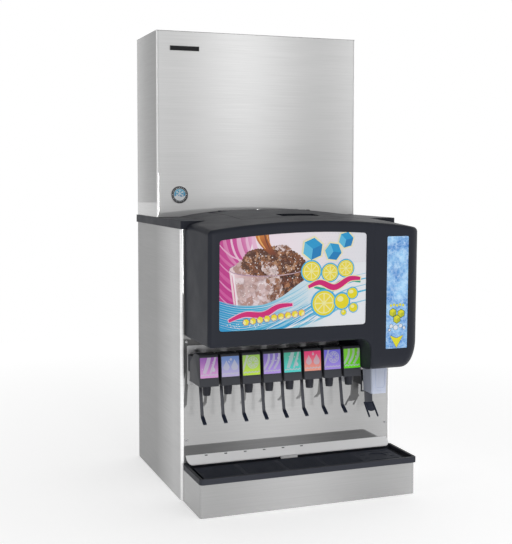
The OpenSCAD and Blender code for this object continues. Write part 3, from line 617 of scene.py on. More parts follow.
def inner_point(p, low, top):
    """A point of the hood's outside moved one wall thickness inwards."""
    x, y, z = p
    half = HOOD_X[1]
    wall_shift = smoothstep(120, 160, x) - smoothstep(200, 260, x)
    edge_shift = smoothstep(-half + 30, -half, x) - smoothstep(half - 60, half, x)
    squeeze = 1 - 2 * HOOD_WALL / (top - low)
    middle = (low + top) / 2
    return (x + HOOD_WALL * (wall_shift + edge_shift), y + HOOD_WALL, middle + (z - middle) * squeeze)


def make_hood(mat):
    outside = hood_rings()
    inside = []
    for ring in outside:
        low, top = min(p[2] for p in ring), max(p[2] for p in ring)
        inside.append([inner_point(p, low, top) for p in ring])
    hood = new_piece("hood_shell", *loft(outside), mat, slot="hood_plastic", replaces=["hood"])
    hollow = loft(inside)
    far = 500.0
    side = [(HOOD_REAR, 400), (HOOD_REAR, PLATE_Z[0] - 2), (PLATE_Y[0] - 1, PLATE_Z[0] - 2),
            (PLATE_Y[0] - 1, PLATE_Z[1] + 0.3), (far, PLATE_Z[1] + 0.3), (far, 400)]
    opening = round_rect((LID_X[0] - LID_GAP, LID_X[1] + LID_GAP), (LID_TOP_Y[0] - LID_GAP, LID_OPEN_BACK),
                         [15, 15, 0.1, 0.1])
    cut(hood, *hollow)
    cut(hood, *loft([[(x, y, z) for y, z in side] for x in (-far, far)]))
    cut(hood, *window_cutter(show_outline, 0.0))
    cut(hood, *window_cutter(strip_outline, COLUMN_SETBACK))
    cut(hood, *prism(opening, LID_CUT_Z))
    cut(hood, *box_mesh((NECK_X[0] - 6, NECK_X[1] + 6), (NECK_Y[0] - 6, NECK_Y[1] + 6),
                        (HOOD_Z[0] - 2, HOOD_Z[0] + 6)))
    smooth(hood, 30)
    lugs = []
    for side in (-168, 168):
        lugs.append(rod((side - 6, *PIVOT), (side + 6, *PIVOT), 5))
        lugs.append(box_mesh((side - 6, side + 6), (PIVOT[0], LID_OPEN_BACK + 2),
                             (PIVOT[1] - 3, PIVOT[1] + 1)))
    smooth(new_piece("lid_lugs", *joined(*lugs), mat, slot="hood_plastic"))


def make_lid(mat, bright):
    xs = [LID_X[0] - 3 + (LID_X[1] - LID_X[0] + 6) * k / 52 for k in range(53)]
    ys = [LID_TOP_Y[0] - 3 + (LID_TOP_Y[1] - LID_TOP_Y[0] + 6) * k / 42 for k in range(43)]
    rings = [[(x, y, dome(x, y)) for y in ys] for x in xs]
    lid = new_piece("fill_lid_shell", *loft(rings, closed=False, caps=False), mat, "fill_lid",
                    "hood_plastic",
                    ["fill_lid"])
    up = sum(p.normal.z for p in lid.data.polygons)
    if up < 0:
        lid.data.flip_normals()
    thicken(lid, HOOD_WALL)
    cut(lid, *prism(lid_outline(0, 14), LID_CUT_Z), operation="INTERSECT")
    pull_x, pull_y = (-60.0, 75.0), (-86.0, -16.0)
    cut(lid, *prism(round_rect(pull_x, pull_y, [5] * 4), LID_CUT_Z))
    smooth(lid, 30)
    soften(lid, 0.7, 2, 55)
    rings = []
    for inset, z in ((-2.0, 927.0), (-2.0, 921.0), (2.5, 921.0), (2.5, 923.5), (0.0, 926.0), (0.0, 930.5)):
        rings.append([(x, y, z + (y - pull_y[0]) * 0.06)
                      for x, y in round_rect((pull_x[0] + inset, pull_x[1] - inset),
                                             (pull_y[0] + inset, pull_y[1] - inset),
                                             [5 - inset * 0.5] * 4)])
    smooth(new_piece("fill_lid_grip", *loft([rings[1], rings[0], rings[5], rings[4], rings[3]]), mat,
                     "fill_lid",
                    "hood_plastic"))
    knob = [(0.0, 3.2), (3.4, 3.2), (4.4, 2.2), (4.5, -2.0)]
    rings = [[(-60 + r * math.cos(k * math.tau / 24), 147 + r * math.sin(k * math.tau / 24),
               dome(-60, 147) + h) for k in range(24)] for r, h in knob[1:]]
    smooth(new_piece("fill_lid_stud", *loft(rings), bright, "fill_lid", "bright_steel"))
    hinge = []
    for side in (-1, 1):
        hinge.append(rod((side * 145 - 12, *PIVOT), (side * 145 + 12, *PIVOT), 5))
        hinge.append(rod((side * 162 - 11.5, *PIVOT), (side * 162 + 11.5, *PIVOT), 2.5))
        hinge.append(box_mesh((side * 145 - 12, side * 145 + 12), (LID_TOP_Y[1] - 4, PIVOT[0]),
                              (PIVOT[1] - 1.5, PIVOT[1] + 1.5)))
    smooth(new_piece("fill_lid_hinge", *joined(*hinge), mat, "fill_lid", "hood_plastic"))


# ---------- printed films ----------
def srgb(r, g, b):
    """Linear colour from display values of 0 to 255."""
    return tuple(((c / 255 + 0.055) / 1.055) ** 2.4 if c > 10 else c / 255 / 12.92 for c in (r, g, b))


GLOW = 0.16                # how strongly the lit pictures shine by themselves
INK = 0.72                 # lightness of printed colours
INKED_Y = -252             # depth from which the display's colour runs are measured


def film(name, stops, start=(0, 0, 0), end=(0, 0, 1), glow=GLOW):
    """Lit printed film whose colour runs through the stops from one point to another."""
    stops = [shade(color, INK) for color in stops]
    mat = principled(name, stops[0], 0.25, Emission_Strength=glow)
    last = len(stops) - 1
    if last == 0:
        mat.node_tree.nodes["Principled BSDF"].inputs["Emission Color"].default_value = (*stops[0], 1)
        return mat
    here, there = Vector(place(start)), Vector(place(end))
    offset = add_node(mat, "VectorMath", {0: object_coords(mat), 1: here}, operation="SUBTRACT")
    along = add_node(mat, "VectorMath", {0: offset.outputs[0], 1: there - here}, operation="DOT_PRODUCT")
    reach = times(mat, along.outputs["Value"], 1 / (there - here).length_squared)
    ramp = add_node(mat, "ValToRGB", {"Fac": reach})
    ramp.color_ramp.interpolation = "EASE"
    elements = ramp.color_ramp.elements
    for k, color in enumerate(stops):
        stop = elements[0] if k == 0 else elements[-1] if k == last else elements.new(k / last)
        stop.position, stop.color = k / last, (*color, 1)
    drive(mat, "Base Color", ramp.outputs["Color"])
    drive(mat, "Emission Color", ramp.outputs["Color"])
    return mat


def inked(name, *tones, start=(0, 0), end=(0, 0)):
    """Film for the display, in display colours that run between two points of its face."""
    return film("art_" + name, [srgb(*tone) for tone in tones], (start[0], INKED_Y, start[1]),
                (end[0], INKED_Y, end[1]))


def clip(points, window):
    """Part of a polygon inside a convex, counter-clockwise window."""
    kept = list(points)
    for (ax, az), (bx, bz) in zip(window, window[1:] + window[:1]):
        if math.hypot(bx - ax, bz - az) < 1e-6:
            continue
        source, kept = kept, []
        side = lambda p: (bx - ax) * (p[1] - az) - (bz - az) * (p[0] - ax)
        for p, q in zip(source, source[1:] + source[:1]):
            a, b = side(p), side(q)
            if a >= 0:
                kept.append(p)
            if (a >= 0) != (b >= 0):
                t = a / (a - b)
                kept.append((p[0] + (q[0] - p[0]) * t, p[1] + (q[1] - p[1]) * t))
        if not kept:
            break
    return kept


def curve(points, steps=10):
    """Smooth line through the points."""
    ends = [points[0]] + list(points) + [points[-1]]
    line = []
    for p0, p1, p2, p3 in zip(ends, ends[1:], ends[2:], ends[3:]):
        for k in range(steps):
            t = k / steps
            line.append(tuple(0.5 * (2 * b + (c - a) * t + (2 * a - 5 * b + 4 * c - d) * t * t
                                     + (3 * b - a - 3 * c + d) * t ** 3)
                              for a, b, c, d in zip(p0, p1, p2, p3)))
    return line + [points[-1]]


def ribbon(points, wide, thin=0.15):
    """Band along a smooth line, widest in the middle."""
    line = curve(points)
    left, right = [], []
    for k, ((x, z), (nx, nz)) in enumerate(zip(line, normals(line))):
        half = wide / 2 * (thin + (1 - thin) * math.sin(math.pi * k / (len(line) - 1)))
        left.append((x + nx * half, z + nz * half))
        right.append((x - nx * half, z - nz * half))
    return left + right[::-1]


def disc(x, z, r, squash=1.0, sides=28):
    return [(x + r * math.cos(k * math.tau / sides), z + r * squash * math.sin(k * math.tau / sides))
            for k in range(sides)]


def pebble(x, z, r, sides=9):
    """Uneven rounded lump."""
    turn = random.uniform(0, math.tau)
    return [(x + r * random.uniform(0.78, 1.15) * math.cos(turn + k * math.tau / sides),
             z + r * random.uniform(0.66, 1.0) * math.sin(turn + k * math.tau / sides))
            for k in range(sides)]


def lumpy(points, size):
    """Outline of a heap: the points' polygon with a bulging, uneven edge."""
    outline = []
    for (x0, z0), (x1, z1) in zip(points, points[1:] + points[:1]):
        bumps = max(1, round(math.hypot(x1 - x0, z1 - z0) / (size * 2.4)))
        area = sum(p[0] * q[1] - q[0] * p[1] for p, q in zip(points, points[1:] + points[:1]))
        turn = 1 if area > 0 else -1
        length = math.hypot(x1 - x0, z1 - z0)
        nx, nz = (z1 - z0) / length * turn, -(x1 - x0) / length * turn
        for k in range(bumps):
            swell = size * random.uniform(0.5, 1.0)
            for j in range(5):
                t, push = (k + j / 5) / bumps, swell * math.sin(math.pi * j / 5)
                outline.append((x0 + (x1 - x0) * t + nx * push, z0 + (z1 - z0) * t + nz * push))
    return outline


def nugget_film(name, scale, tones, glints=0.55):
    """Printed heap of nugget ice: rounded cells in mixed colours with darker gaps and pale glints."""
    colors = [shade(srgb(*tone), INK) for tone in tones]
    mat = principled(name, colors[0], 0.25, Emission_Strength=GLOW)
    coord = object_coords(mat)
    warp = add_node(mat, "TexNoise", {"Vector": coord, "Scale": scale * 1.4})
    blend = add_node(mat, "Mix", {"Factor": 0.014, "A": coord, "B": warp.outputs["Color"]},
                     data_type="RGBA",
                     blend_type="LINEAR_LIGHT")
    cells = add_node(mat, "TexVoronoi", {"Vector": blend.outputs["Result"], "Scale": scale})
    split = add_node(mat, "SeparateColor", {0: cells.outputs["Color"]})
    ramp = add_node(mat, "ValToRGB", {"Fac": split.outputs[0]})
    ramp.color_ramp.interpolation = "CONSTANT"
    elements = ramp.color_ramp.elements
    for k, color in enumerate(colors):
        stop = elements[k] if k < 2 else elements.new(k / len(colors))
        stop.position, stop.color = k / len(colors), (*color, 1)
    edge = map_range(mat, cells.outputs["Distance"], 0.0, 0.6, 0.42, 0.85)
    color = mix_colors(mat, edge, ramp.outputs["Color"], shade(colors[0], 0.6))
    glint = map_range(mat, object_noise(mat, scale * 3.2), 0.0, glints, 0.6, 0.72)
    color = mix_colors(mat, glint, color, shade(srgb(240, 222, 212), INK))
    drive(mat, "Base Color", color)
    drive(mat, "Emission Color", color)
    return mat


class Print:
    """Layers of flat shapes printed on a face; each shape lies a hair in front of the last."""
    LAYER = 0.012

    def __init__(self, window, depth_at, start):
        self.window, self.depth_at, self.depth = window, depth_at, start
        self.vertices, self.faces, self.indices, self.materials = [], [], [], []

    def add(self, points, mat, level=False):
        """level leaves the shape at the last one's depth, for neighbours that don't overlap."""
        shape = clip(points, self.window)
        if len(shape) < 3:
            return
        if not level:
            self.depth -= self.LAYER
        if mat not in self.materials:
            self.materials.append(mat)
        start = len(self.vertices)
        area = sum(p[0] * q[1] - q[0] * p[1] for p, q in zip(shape, shape[1:] + shape[:1]))
        if area < 0:
            shape = shape[::-1]
        self.vertices += [(x, self.depth_at(z) + self.depth, z) for x, z in shape]
        self.faces.append(tuple(range(start, len(self.vertices))))
        self.indices.append(self.materials.index(mat))

    def cube(self, x, z, r, turn, mats, rim=None):
        """Ice cube seen on its corner: a hexagon of three shaded faces."""
        at = lambda k, size: around(x, z, size, turn + 60 * k)
        if rim:
            self.add([at(k, r * 1.16) for k in range(6)], rim)
        for k, mat in zip((0, 2, 4), mats):
            self.add([(x, z), at(k, r), at(k + 1, r), at(k + 2, r)], mat, level=k > 0)

    def slice(self, x, z, r, peel, pith, flesh, rim=None):
        """Round citrus slice."""
        if rim:
            self.add(disc(x, z, r * 1.15), rim)
        self.add(disc(x, z, r), peel)
        self.add(disc(x, z, r * 0.84), pith)
        for k in range(8):
            tip = around(x, z, r * 0.12, 45 * k + 22.5)
            self.add([tip] + arc(x, z, r * 0.76, r * 0.76, 45 * k + 4, 45 * k + 41, 5), flesh, level=k > 0)

    def piece(self, name, slot):
        """The printed shapes as one piece."""
        new_piece(name, self.vertices, self.faces, self.materials, slot=slot, indices=self.indices,
                  keep_sides=True)


def slab(outline, depth_at, depth):
    """Solid plate behind a face, between two depths."""
    return loft([[(x, depth_at(z) + d, z) for x, z in outline] for d in depth])


def make_display():
    """Lit front picture: an iced drink being poured, over a pink swirl and a blue wave."""
    window = show_outline(0.3)
    white = inked("white", (246, 243, 246))
    base = inked("base", (250, 232, 242), (246, 238, 244), (238, 238, 244), start=(-200, 800),
                 end=(160, 840))
    new_piece("display_film", *slab(window, face_y, (4.0, 2.2)), base, slot="display_film",
              replaces=["display_panel"])
    art = Print(window, face_y, 2.2)
    # Pale dots at the upper right
    dot = inked("dot", (222, 222, 234))
    for row in range(11):
        for col in range(16):
            art.add(disc(2 + col * 10 + (row % 2) * 5, 782 + row * 10, 1.5, sides=8), dot, level=True)
    # Pink swirl
    magenta = inked("magenta", (196, 38, 138), (206, 66, 152), (238, 176, 214), start=(-340, 800),
                    end=(-205, 850))
    pink = inked("pink", (212, 84, 160), (240, 190, 220), start=(-332, 800), end=(-230, 840))
    blush = inked("blush", (228, 138, 192), (246, 214, 232), start=(-340, 800), end=(-250, 850))
    art.add([(-340, 640), (-280, 640), (-250, 760), (-235, 830), (-215, 900), (-340, 900)], magenta)
    for x, wide in ((-318, 12), (-296, 7), (-272, 16), (-246, 9), (-224, 14)):
        art.add(ribbon([(x, 905), (x + 3, 860), (x + 18, 820), (x + 44, 790)], wide, 0.5),
                pink if wide > 8 else blush)
    for z, wide in ((842, 5), (812, 9), (788, 4), (760, 11), (735, 5), (708, 9), (688, 4)):
        art.add(ribbon([(-340, z + 22), (-316, z - 4), (-290, z - 24), (-258, z - 36)], wide, 0.35),
                pink if wide > 6 else blush)
    # Cup
    glass = inked("glass", (244, 214, 222), (214, 176, 176), (176, 124, 110), (118, 62, 40), (84, 40, 26),
                  start=(-296, 700), end=(-60, 716))
    inside = inked("inside", (238, 214, 218), (198, 160, 158), (146, 92, 76), start=(-300, 778),
                   end=(-50, 778))
    art.add([(-301, 778), (-290, 700), (-276, 620), (-84, 620), (-62, 700), (-45, 782)], glass)
    art.add(disc(-173, 779, 128, 0.19, 48), inside)
    gleam = inked("gleam", (252, 246, 248))
    frosted = nugget_film("art_frosted", 62,
                          ((206, 172, 170), (226, 200, 202), (186, 144, 136), (238, 220, 224),
                           (214, 184, 182)))
    cola = nugget_film("art_cola", 66,
                       ((62, 28, 18), (124, 68, 42), (86, 40, 24), (168, 112, 76), (98, 50, 32)))
    heap = nugget_film("art_heap", 84,
                       ((92, 48, 28), (150, 92, 56), (112, 62, 36), (190, 142, 108), (130, 76, 46),
                        (86, 44, 26)), 0.3)
    mixed = nugget_film("art_mixed", 80, ((214, 186, 180), (160, 108, 78), (232, 212, 212), (120, 70, 46)))
    art.add(lumpy([(-286, 752), (-278, 640), (-150, 640), (-140, 700), (-150, 752)], 3), frosted)
    art.add(lumpy([(-170, 756), (-160, 700), (-172, 640), (-76, 640), (-66, 700), (-54, 770), (-110, 752)],
                  5), cola)
    art.add(lumpy([(-150, 762), (-182, 742), (-160, 716), (-178, 690), (-150, 672), (-130, 700),
                   (-128, 740)], 5), mixed)
    for k in range(46):
        art.add(pebble(random.uniform(-276, -76), random.uniform(660, 752), random.uniform(0.9, 2.2), 6),
                gleam, level=k > 0)
    art.add([(-296, 770), (-284, 690), (-276, 640), (-268, 640), (-274, 690), (-284, 764)],
            inked("shine", (250, 236, 242)))
    art.add(ribbon([(-292, 762), (-284, 710), (-277, 650)], 3.2, 0.6), inked("rose", (226, 120, 160)))
    # Heap above the rim
    art.add(lumpy([(-288, 782), (-270, 800), (-246, 812), (-226, 806), (-220, 780), (-250, 762),
                   (-278, 768)], 4), frosted)
    crown = [(-262, 784), (-256, 812), (-240, 832), (-212, 840), (-186, 838), (-160, 846), (-132, 846),
             (-104, 836), (-84, 826), (-66, 812), (-50, 796), (-50, 778), (-90, 762), (-140, 756),
             (-190, 756), (-236, 764)]
    art.add(lumpy(crown, 4), heap)
    art.add(lumpy([(-190, 800), (-196, 776), (-172, 758), (-140, 762), (-146, 784), (-164, 798)], 4), mixed)
    art.add(lumpy([(-152, 838), (-140, 850), (-112, 848), (-98, 836), (-120, 828)], 3), mixed)
    for k in range(90):
        x = random.uniform(-256, -58)
        top = 764 + 76 * math.sqrt(max(0.0, 1 - ((x + 157) / 108) ** 2))
        art.add(pebble(x, random.uniform(764, top), random.uniform(0.8, 2.4), 6), gleam, level=k > 0)
    # Pour
    amber = inked("amber", (216, 132, 52), (170, 88, 40), (120, 60, 34), start=(-205, 890), end=(-170, 815))
    bright = inked("bright", (240, 176, 96))
    art.add(curve([(-222, 905), (-214, 872), (-196, 846), (-166, 820)])
            + curve([(-148, 822), (-166, 850), (-172, 876), (-174, 905)]), amber)
    art.add(ribbon([(-212, 905), (-203, 868), (-184, 840)], 5, 0.4), bright)
    art.add(ribbon([(-190, 905), (-184, 872), (-170, 838)], 4, 0.4), inked("syrup", (112, 58, 36)))
    art.add(ribbon([(-181, 900), (-177, 874), (-165, 848)], 2.2, 0.4), bright)
    # Front of the rim
    rim = inked("rim", (150, 112, 152), (212, 186, 200), start=(-300, 778), end=(-120, 778))
    front = arc(-173, 779, 128, 24.5, 150, 360, 35)
    back = [(-173 + (x + 173) * 0.985, 779 + (z - 779) * 0.9) for x, z in front[::-1]]
    art.add(front + back, rim)
    # Wave
    wave = inked("wave", (22, 152, 208), (60, 178, 220), (196, 226, 240), (240, 243, 248),
                 start=(-332, 640), end=(20, 700))
    edge = curve([(-345, 690), (-300, 672), (-246, 664), (-190, 668), (-130, 690), (-66, 732), (-10, 762),
                  (70, 784), (175, 792)])
    art.add(edge + [(175, 580), (-345, 580)], wave)
    cyan = inked("cyan", (30, 160, 216), (80, 190, 228), start=(-200, 620), end=(160, 700))
    sky = inked("sky", (140, 206, 232))
    for rise, wide, mat in ((20, 3, sky), (4, 8, cyan), (-16, 5, sky), (-34, 10, cyan), (-52, 4, white),
                            (-66, 7, sky)):
        art.add(ribbon([(-210, 582 + rise * 0.2), (-110, 612 + rise * 0.4), (0, 668 + rise * 0.8),
                        (80, 716 + rise), (180, 738 + rise)],
                       wide, 0.3), mat)
    for k in range(12):
        z = 676 - k * 7
        art.add(ribbon([(-345, z + 12), (-270, z - 8), (-180, z - 8 + k), (-96, z + 22), (-40, z + 52)],
                       (3.4, 1.4, 2.4)[k % 3], 0.2), (sky, white, sky)[k % 3])
    for k in range(9):
        art.add(ribbon([(-60 - k * 22, 585), (0 - k * 18, 622), (60 - k * 12, 668)], 2.6, 0.2),
                (white, cyan, sky)[k % 3])
    for k in range(30):
        art.add(disc(random.uniform(-310, -190), random.uniform(596, 612), random.uniform(0.7, 1.8),
                     sides=8), white)
    # Cubes, slices and ribbons
    halo = inked("halo", (70, 184, 232))
    cream = inked("cream", (246, 240, 190))
    blues = [inked("blue_%d" % k, tone)
             for k, tone in enumerate(((34, 160, 216), (92, 192, 232), (22, 132, 196)))]
    yellow = inked("yellow", (240, 224, 28))
    pale = inked("pale", (250, 244, 170))
    gold = inked("gold", (246, 226, 70))
    berry = inked("berry", (216, 20, 118))
    teal = inked("teal", (44, 170, 150))
    art.cube(-26, 836, 35, 22, blues, cream)
    art.cube(44, 826, 29, -8, blues, cream)
    art.cube(88, 862, 26, 14, blues, cream)
    for x, z, r in ((-30, 766, 31), (34, 760, 27), (88, 772, 26)):
        art.slice(x, z, r, yellow, pale, gold, halo)
    art.add(ribbon([(-20, 716), (30, 708), (80, 734), (140, 728)], 9, 0.8), teal)
    art.add(ribbon([(-42, 716), (0, 730), (50, 712), (100, 738), (142, 738)], 25, 0.55), cream)
    art.add(ribbon([(-40, 717), (0, 730), (50, 713), (100, 738), (139, 738)], 19, 0.5), berry)
    art.slice(14, 664, 39, yellow, pale, gold, halo)
    for x, z, r in ((76, 668, 24), (112, 692, 17), (116, 646, 14), (82, 632, 9)):
        art.add(disc(x, z, r * 1.2), halo)
        art.add(disc(x, z, r), yellow)
        art.add(disc(x - r * 0.25, z + r * 0.3, r * 0.45, 0.8), pale)
    art.add(ribbon([(-304, 622), (-250, 640), (-190, 636), (-140, 660), (-90, 664)], 23, 0.5),
            inked("plum", (244, 206, 228)))
    art.add(ribbon([(-302, 622), (-250, 640), (-190, 637), (-140, 660), (-93, 664)], 18, 0.45), berry)
    for k in range(9):
        x, z = -246 + k * 23, 616 + k * 2.6
        art.cube(x, z, 10.5, 10 + 17 * k, (yellow, pale, gold),
                 inked("violet_%d" % k, (150 + 10 * k, 80 + 8 * k, 150)))
    art.piece("display_art", "display_film")


def ice_film():
    """Blue frosted ice, lighter along its cracks."""
    mat = principled("ice_film", srgb(110, 165, 215), 0.25, Emission_Strength=GLOW)
    crack = add_node(mat, "TexVoronoi", {"Vector": object_coords(mat), "Scale": 75},
                     feature="DISTANCE_TO_EDGE")
    color = srgb(62, 124, 192)
    for amount, tone in (
            (map_range(mat, object_noise(mat, 22.0, detail=6.0), 0.0, 1.0, 0.35, 0.65), (150, 196, 232)),
            (map_range(mat, object_noise(mat, 90.0, detail=4.0), 0.0, 0.6, 0.45, 0.75), (196, 222, 242)),
            (map_range(mat, crack.outputs["Distance"], 0.28, 0.0, 0.0, 0.1), (206, 226, 244))):
        color = mix_colors(mat, amount, color, srgb(*tone))
    drive(mat, "Base Color", color)
    drive(mat, "Emission Color", color)
    return mat


def make_strip():
    """Ice column's lit strip: frosted ice with an arrow towards the chute."""
    window = strip_outline(0.3)
    depth_at = lambda z: face_y(z) + COLUMN_SETBACK
    new_piece("strip_film", *slab(window, depth_at, (4.0, 2.2)), ice_film(), slot="strip_film",
              replaces=["strip_panel"])
    art = Print(window, depth_at, 2.2)
    middle = (STRIP_X[0] + STRIP_X[1]) / 2
    yellow, shade_of = film("strip_yellow", [srgb(238, 232, 40)]), film("strip_shade", [srgb(70, 110, 50)])
    white, navy = film("strip_white", [srgb(236, 242, 248)]), film("strip_navy", [srgb(40, 70, 120)])
    arrow = lambda g: [(middle - 24 - g, 547 + g), (middle, 538 + g), (middle + 24 + g, 547 + g),
                       (middle, 507 - g * 1.8)]
    art.add(arrow(1.4), navy)
    art.add(arrow(0), yellow)
    for x, z, r in ((middle - 15, 622, 13), (middle + 15, 618, 13), (middle, 600, 13)):
        art.cube(x, z, r, 30, (yellow, film("strip_lime_%d" % z, [srgb(214, 214, 40)]),
                               film("strip_olive_%d" % z, [srgb(190, 196, 40)])),
                 shade_of)
    for x, z, r in ((middle - 20, 578, 6), (middle - 4, 573, 8), (middle + 14, 578, 6),
                    (middle + 26, 571, 4.5), (middle - 26, 566, 4)):
        art.add(disc(x, z, r + 1.1, sides=20), navy)
        art.add(disc(x, z, r, sides=20), white)
    for k in range(5):
        art.add(disc(middle - 22 + k * 11, 645 + 2 * (k % 2), 4.2, sides=16), yellow)
    art.piece("strip_art", "strip_film")


# Top and bottom colour of each flavour label
FLAVOURS = (
    ((150, 74, 178), (228, 160, 226)), ((104, 140, 206), (200, 188, 236)), ((160, 206, 90), (206, 246, 70)),
    ((132, 112, 198), (192, 160, 248)), ((72, 184, 158), (90, 226, 220)), ((246, 58, 128), (252, 170, 150)),
    ((120, 112, 234), (176, 152, 246)), ((132, 224, 52), (110, 236, 16)))
LABEL_Z = (436.0, 499.0)
LABEL_W = 58.0
LABEL_GLOW = 0.08
VALVE_LEAN = 9 / 94
VALVE_LOW = 408.0


def valve_x(i):
    lo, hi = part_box("valve_%d" % i)
    return (lo.x + hi.x) / 2 / MM


def valve_face_y(z):
    return -175 + (z - VALVE_LOW) * VALVE_LEAN


def drop(x, z, r):
    """Drop with its tip up."""
    low = [around(x, z, r, a) for a in range(150, 391, 15)]
    return low + [(x + r * 0.3, z + r * 1.5), (x, z + r * 2.1), (x - r * 0.3, z + r * 1.5)]


def make_label(i):
    """Flavour label: a colour wash with pale streaks, drops, bubbles or a citrus slice."""
    x = valve_x(i)
    high, low = (srgb(*c) for c in FLAVOURS[i - 1])
    veil = srgb(206, 206, 218)
    wash, pale, lighter = (
        film("label_%s_%d" % (word, i), [between(high, veil, a), between(low, veil, b)],
             (x, 0, LABEL_Z[1]), (x, 0, LABEL_Z[0]), LABEL_GLOW)
        for word, a, b in (("wash", 0, 0), ("pale", 0.6, 0.75), ("light", 0.82, 0.9)))
    half = LABEL_W / 2
    window = round_rect((x - half, x + half), LABEL_Z, [1.5] * 4, 3)
    new_piece("label_card_%d" % i, *slab(window, valve_face_y, (1.1, 0.3)), wash, slot="label_film")
    art = Print(window, valve_face_y, 0.3)
    streak = lambda at, wide, bend=0.0: art.add(
        ribbon([(x + at + 9, 506), (x + at + 3 + bend, 484), (x + at - 3 + bend, 468), (x + at - 10, 450)],
               wide, 0.75), pale)
    if i % 4 == 1:
        streak(-6, 13)
        streak(14, 7)
        art.add(drop(x + 15, 459, 5), lighter)
    elif i % 4 == 2:
        for at, r in ((-13, 10), (14, 11)):
            art.add(drop(x + at, 466, r), pale)
        art.add(disc(x + 2, 489, 4), pale)
    elif i % 4 == 3:
        art.slice(x + 5, 475, 19, pale, wash, pale)
        streak(-20, 7)
    else:
        for at in (-19, -2, 16):
            streak(at, 8, 5)
        art.add(disc(x + 22, 484, 4), lighter)
    for k in range(5):
        art.add(disc(x + random.uniform(-25, 25), random.uniform(462, 495), random.uniform(1.2, 2.6),
                     sides=14), pale)
    for k in range(10):
        art.add(disc(x - 24.5 + k * 5.4, 444.5 + 1.6 * (k % 2), 2.4, sides=14), lighter)
    art.piece("label_art_%d" % i, "label_film")


def make_badges(black, chrome):
    """Blank name plate with a bright border, and an enamel ring with a snowflake."""
    _, (front, _), _ = span("maker_badges")
    plate = ((-333, -225), (1501, 1519))
    face = front + 0.8
    new_piece("name_plate", *slab(round_rect(*plate, [1.5] * 4), lambda z: face, (1.2, 0.0)), black,
              slot="badge_enamel", replaces=["maker_badges"])
    rim = Print(round_rect(*plate, [1.5] * 4), lambda z: face, -0.02)
    for dx, dz, w, h in ((0, 0, 108, 0.9), (0, 17.1, 108, 0.9), (0, 0, 0.9, 18), (107.1, 0, 0.9, 18)):
        left, low = plate[0][0] + dx, plate[1][0] + dz
        rim.add(rectangle((left, left + w), (low, low + h)), chrome)
    rim.piece("name_plate_border", "badge_enamel")
    x, z, r = -299.0, 998.0, 31.0
    rings = [disc(x, z, radius, sides=64) for radius in (r, r, r - 1)]
    new_piece("badge_body", *loft([[(a, face + d, b) for a, b in ring]
                                   for ring, d in zip(rings, (1.2, -0.2, -0.6))]),
              chrome, slot="badge_enamel")
    ink = film("badge_ink", [srgb(16, 22, 34)], glow=0.0)
    sky = film("badge_sky", [srgb(60, 186, 226), srgb(22, 130, 190)], (x, 0, z + 20), (x, 0, z - 20), 0.0)
    snow = film("badge_snow", [srgb(240, 246, 250)], glow=0.0)
    art = Print(disc(x, z, r - 0.5, sides=64), lambda z: face - 0.6, -0.1)
    art.add(disc(x, z, r - 1.0, sides=64), ink)
    for k in range(24):
        art.add(disc(*around(x, z, r - 5.6, 15 * k), 0.9 if k % 2 else 1.4, sides=10), snow)
    art.add(disc(x, z, r - 9.5, sides=48), snow)
    art.add(disc(x, z, r - 10.6, sides=48), sky)
    drift = [(x - 21, z - 6), (x - 8, z - 3), (x + 6, z - 8), (x + 21, z - 4), (x + 21, z - 21),
             (x - 21, z - 21)]
    art.add(clip(drift, disc(x, z, r - 10.6, sides=48)), snow)
    for k in range(6):
        a = math.radians(60 * k + 30)
        line = lambda s, w: (x + s * math.cos(a) - w * math.sin(a),
                             z + 3 + s * math.sin(a) + w * math.cos(a))
        art.add([line(0, -1.3), line(15, -1.3), line(15, 1.3), line(0, 1.3)], snow)
        for side in (-1, 1):
            art.add([line(8, 0), line(12.5, side * 5.5), line(13.8, side * 4.2), line(10, 0)], snow)
    art.piece("badge_art", "badge_enamel")


# ---------- valves ----------
def swept(path, sections, roundness=0.55):
    """Solid along a path in the Y-Z plane; sections give (half width, half thickness) at each point."""
    rings = []
    for (y, z), (ny, nz), (wide, thick) in zip(path, normals(path), sections):
        soft = min(wide, thick) * roundness
        outline = round_rect((-wide, wide), (-thick, thick), [soft] * 4, 3)
        rings.append([(a, y - ny * b, z - nz * b) for a, b in outline])
    return loft(rings)


def shifted(shape, x):
    return [(a + x, b, c) for a, b, c in shape[0]], shape[1]


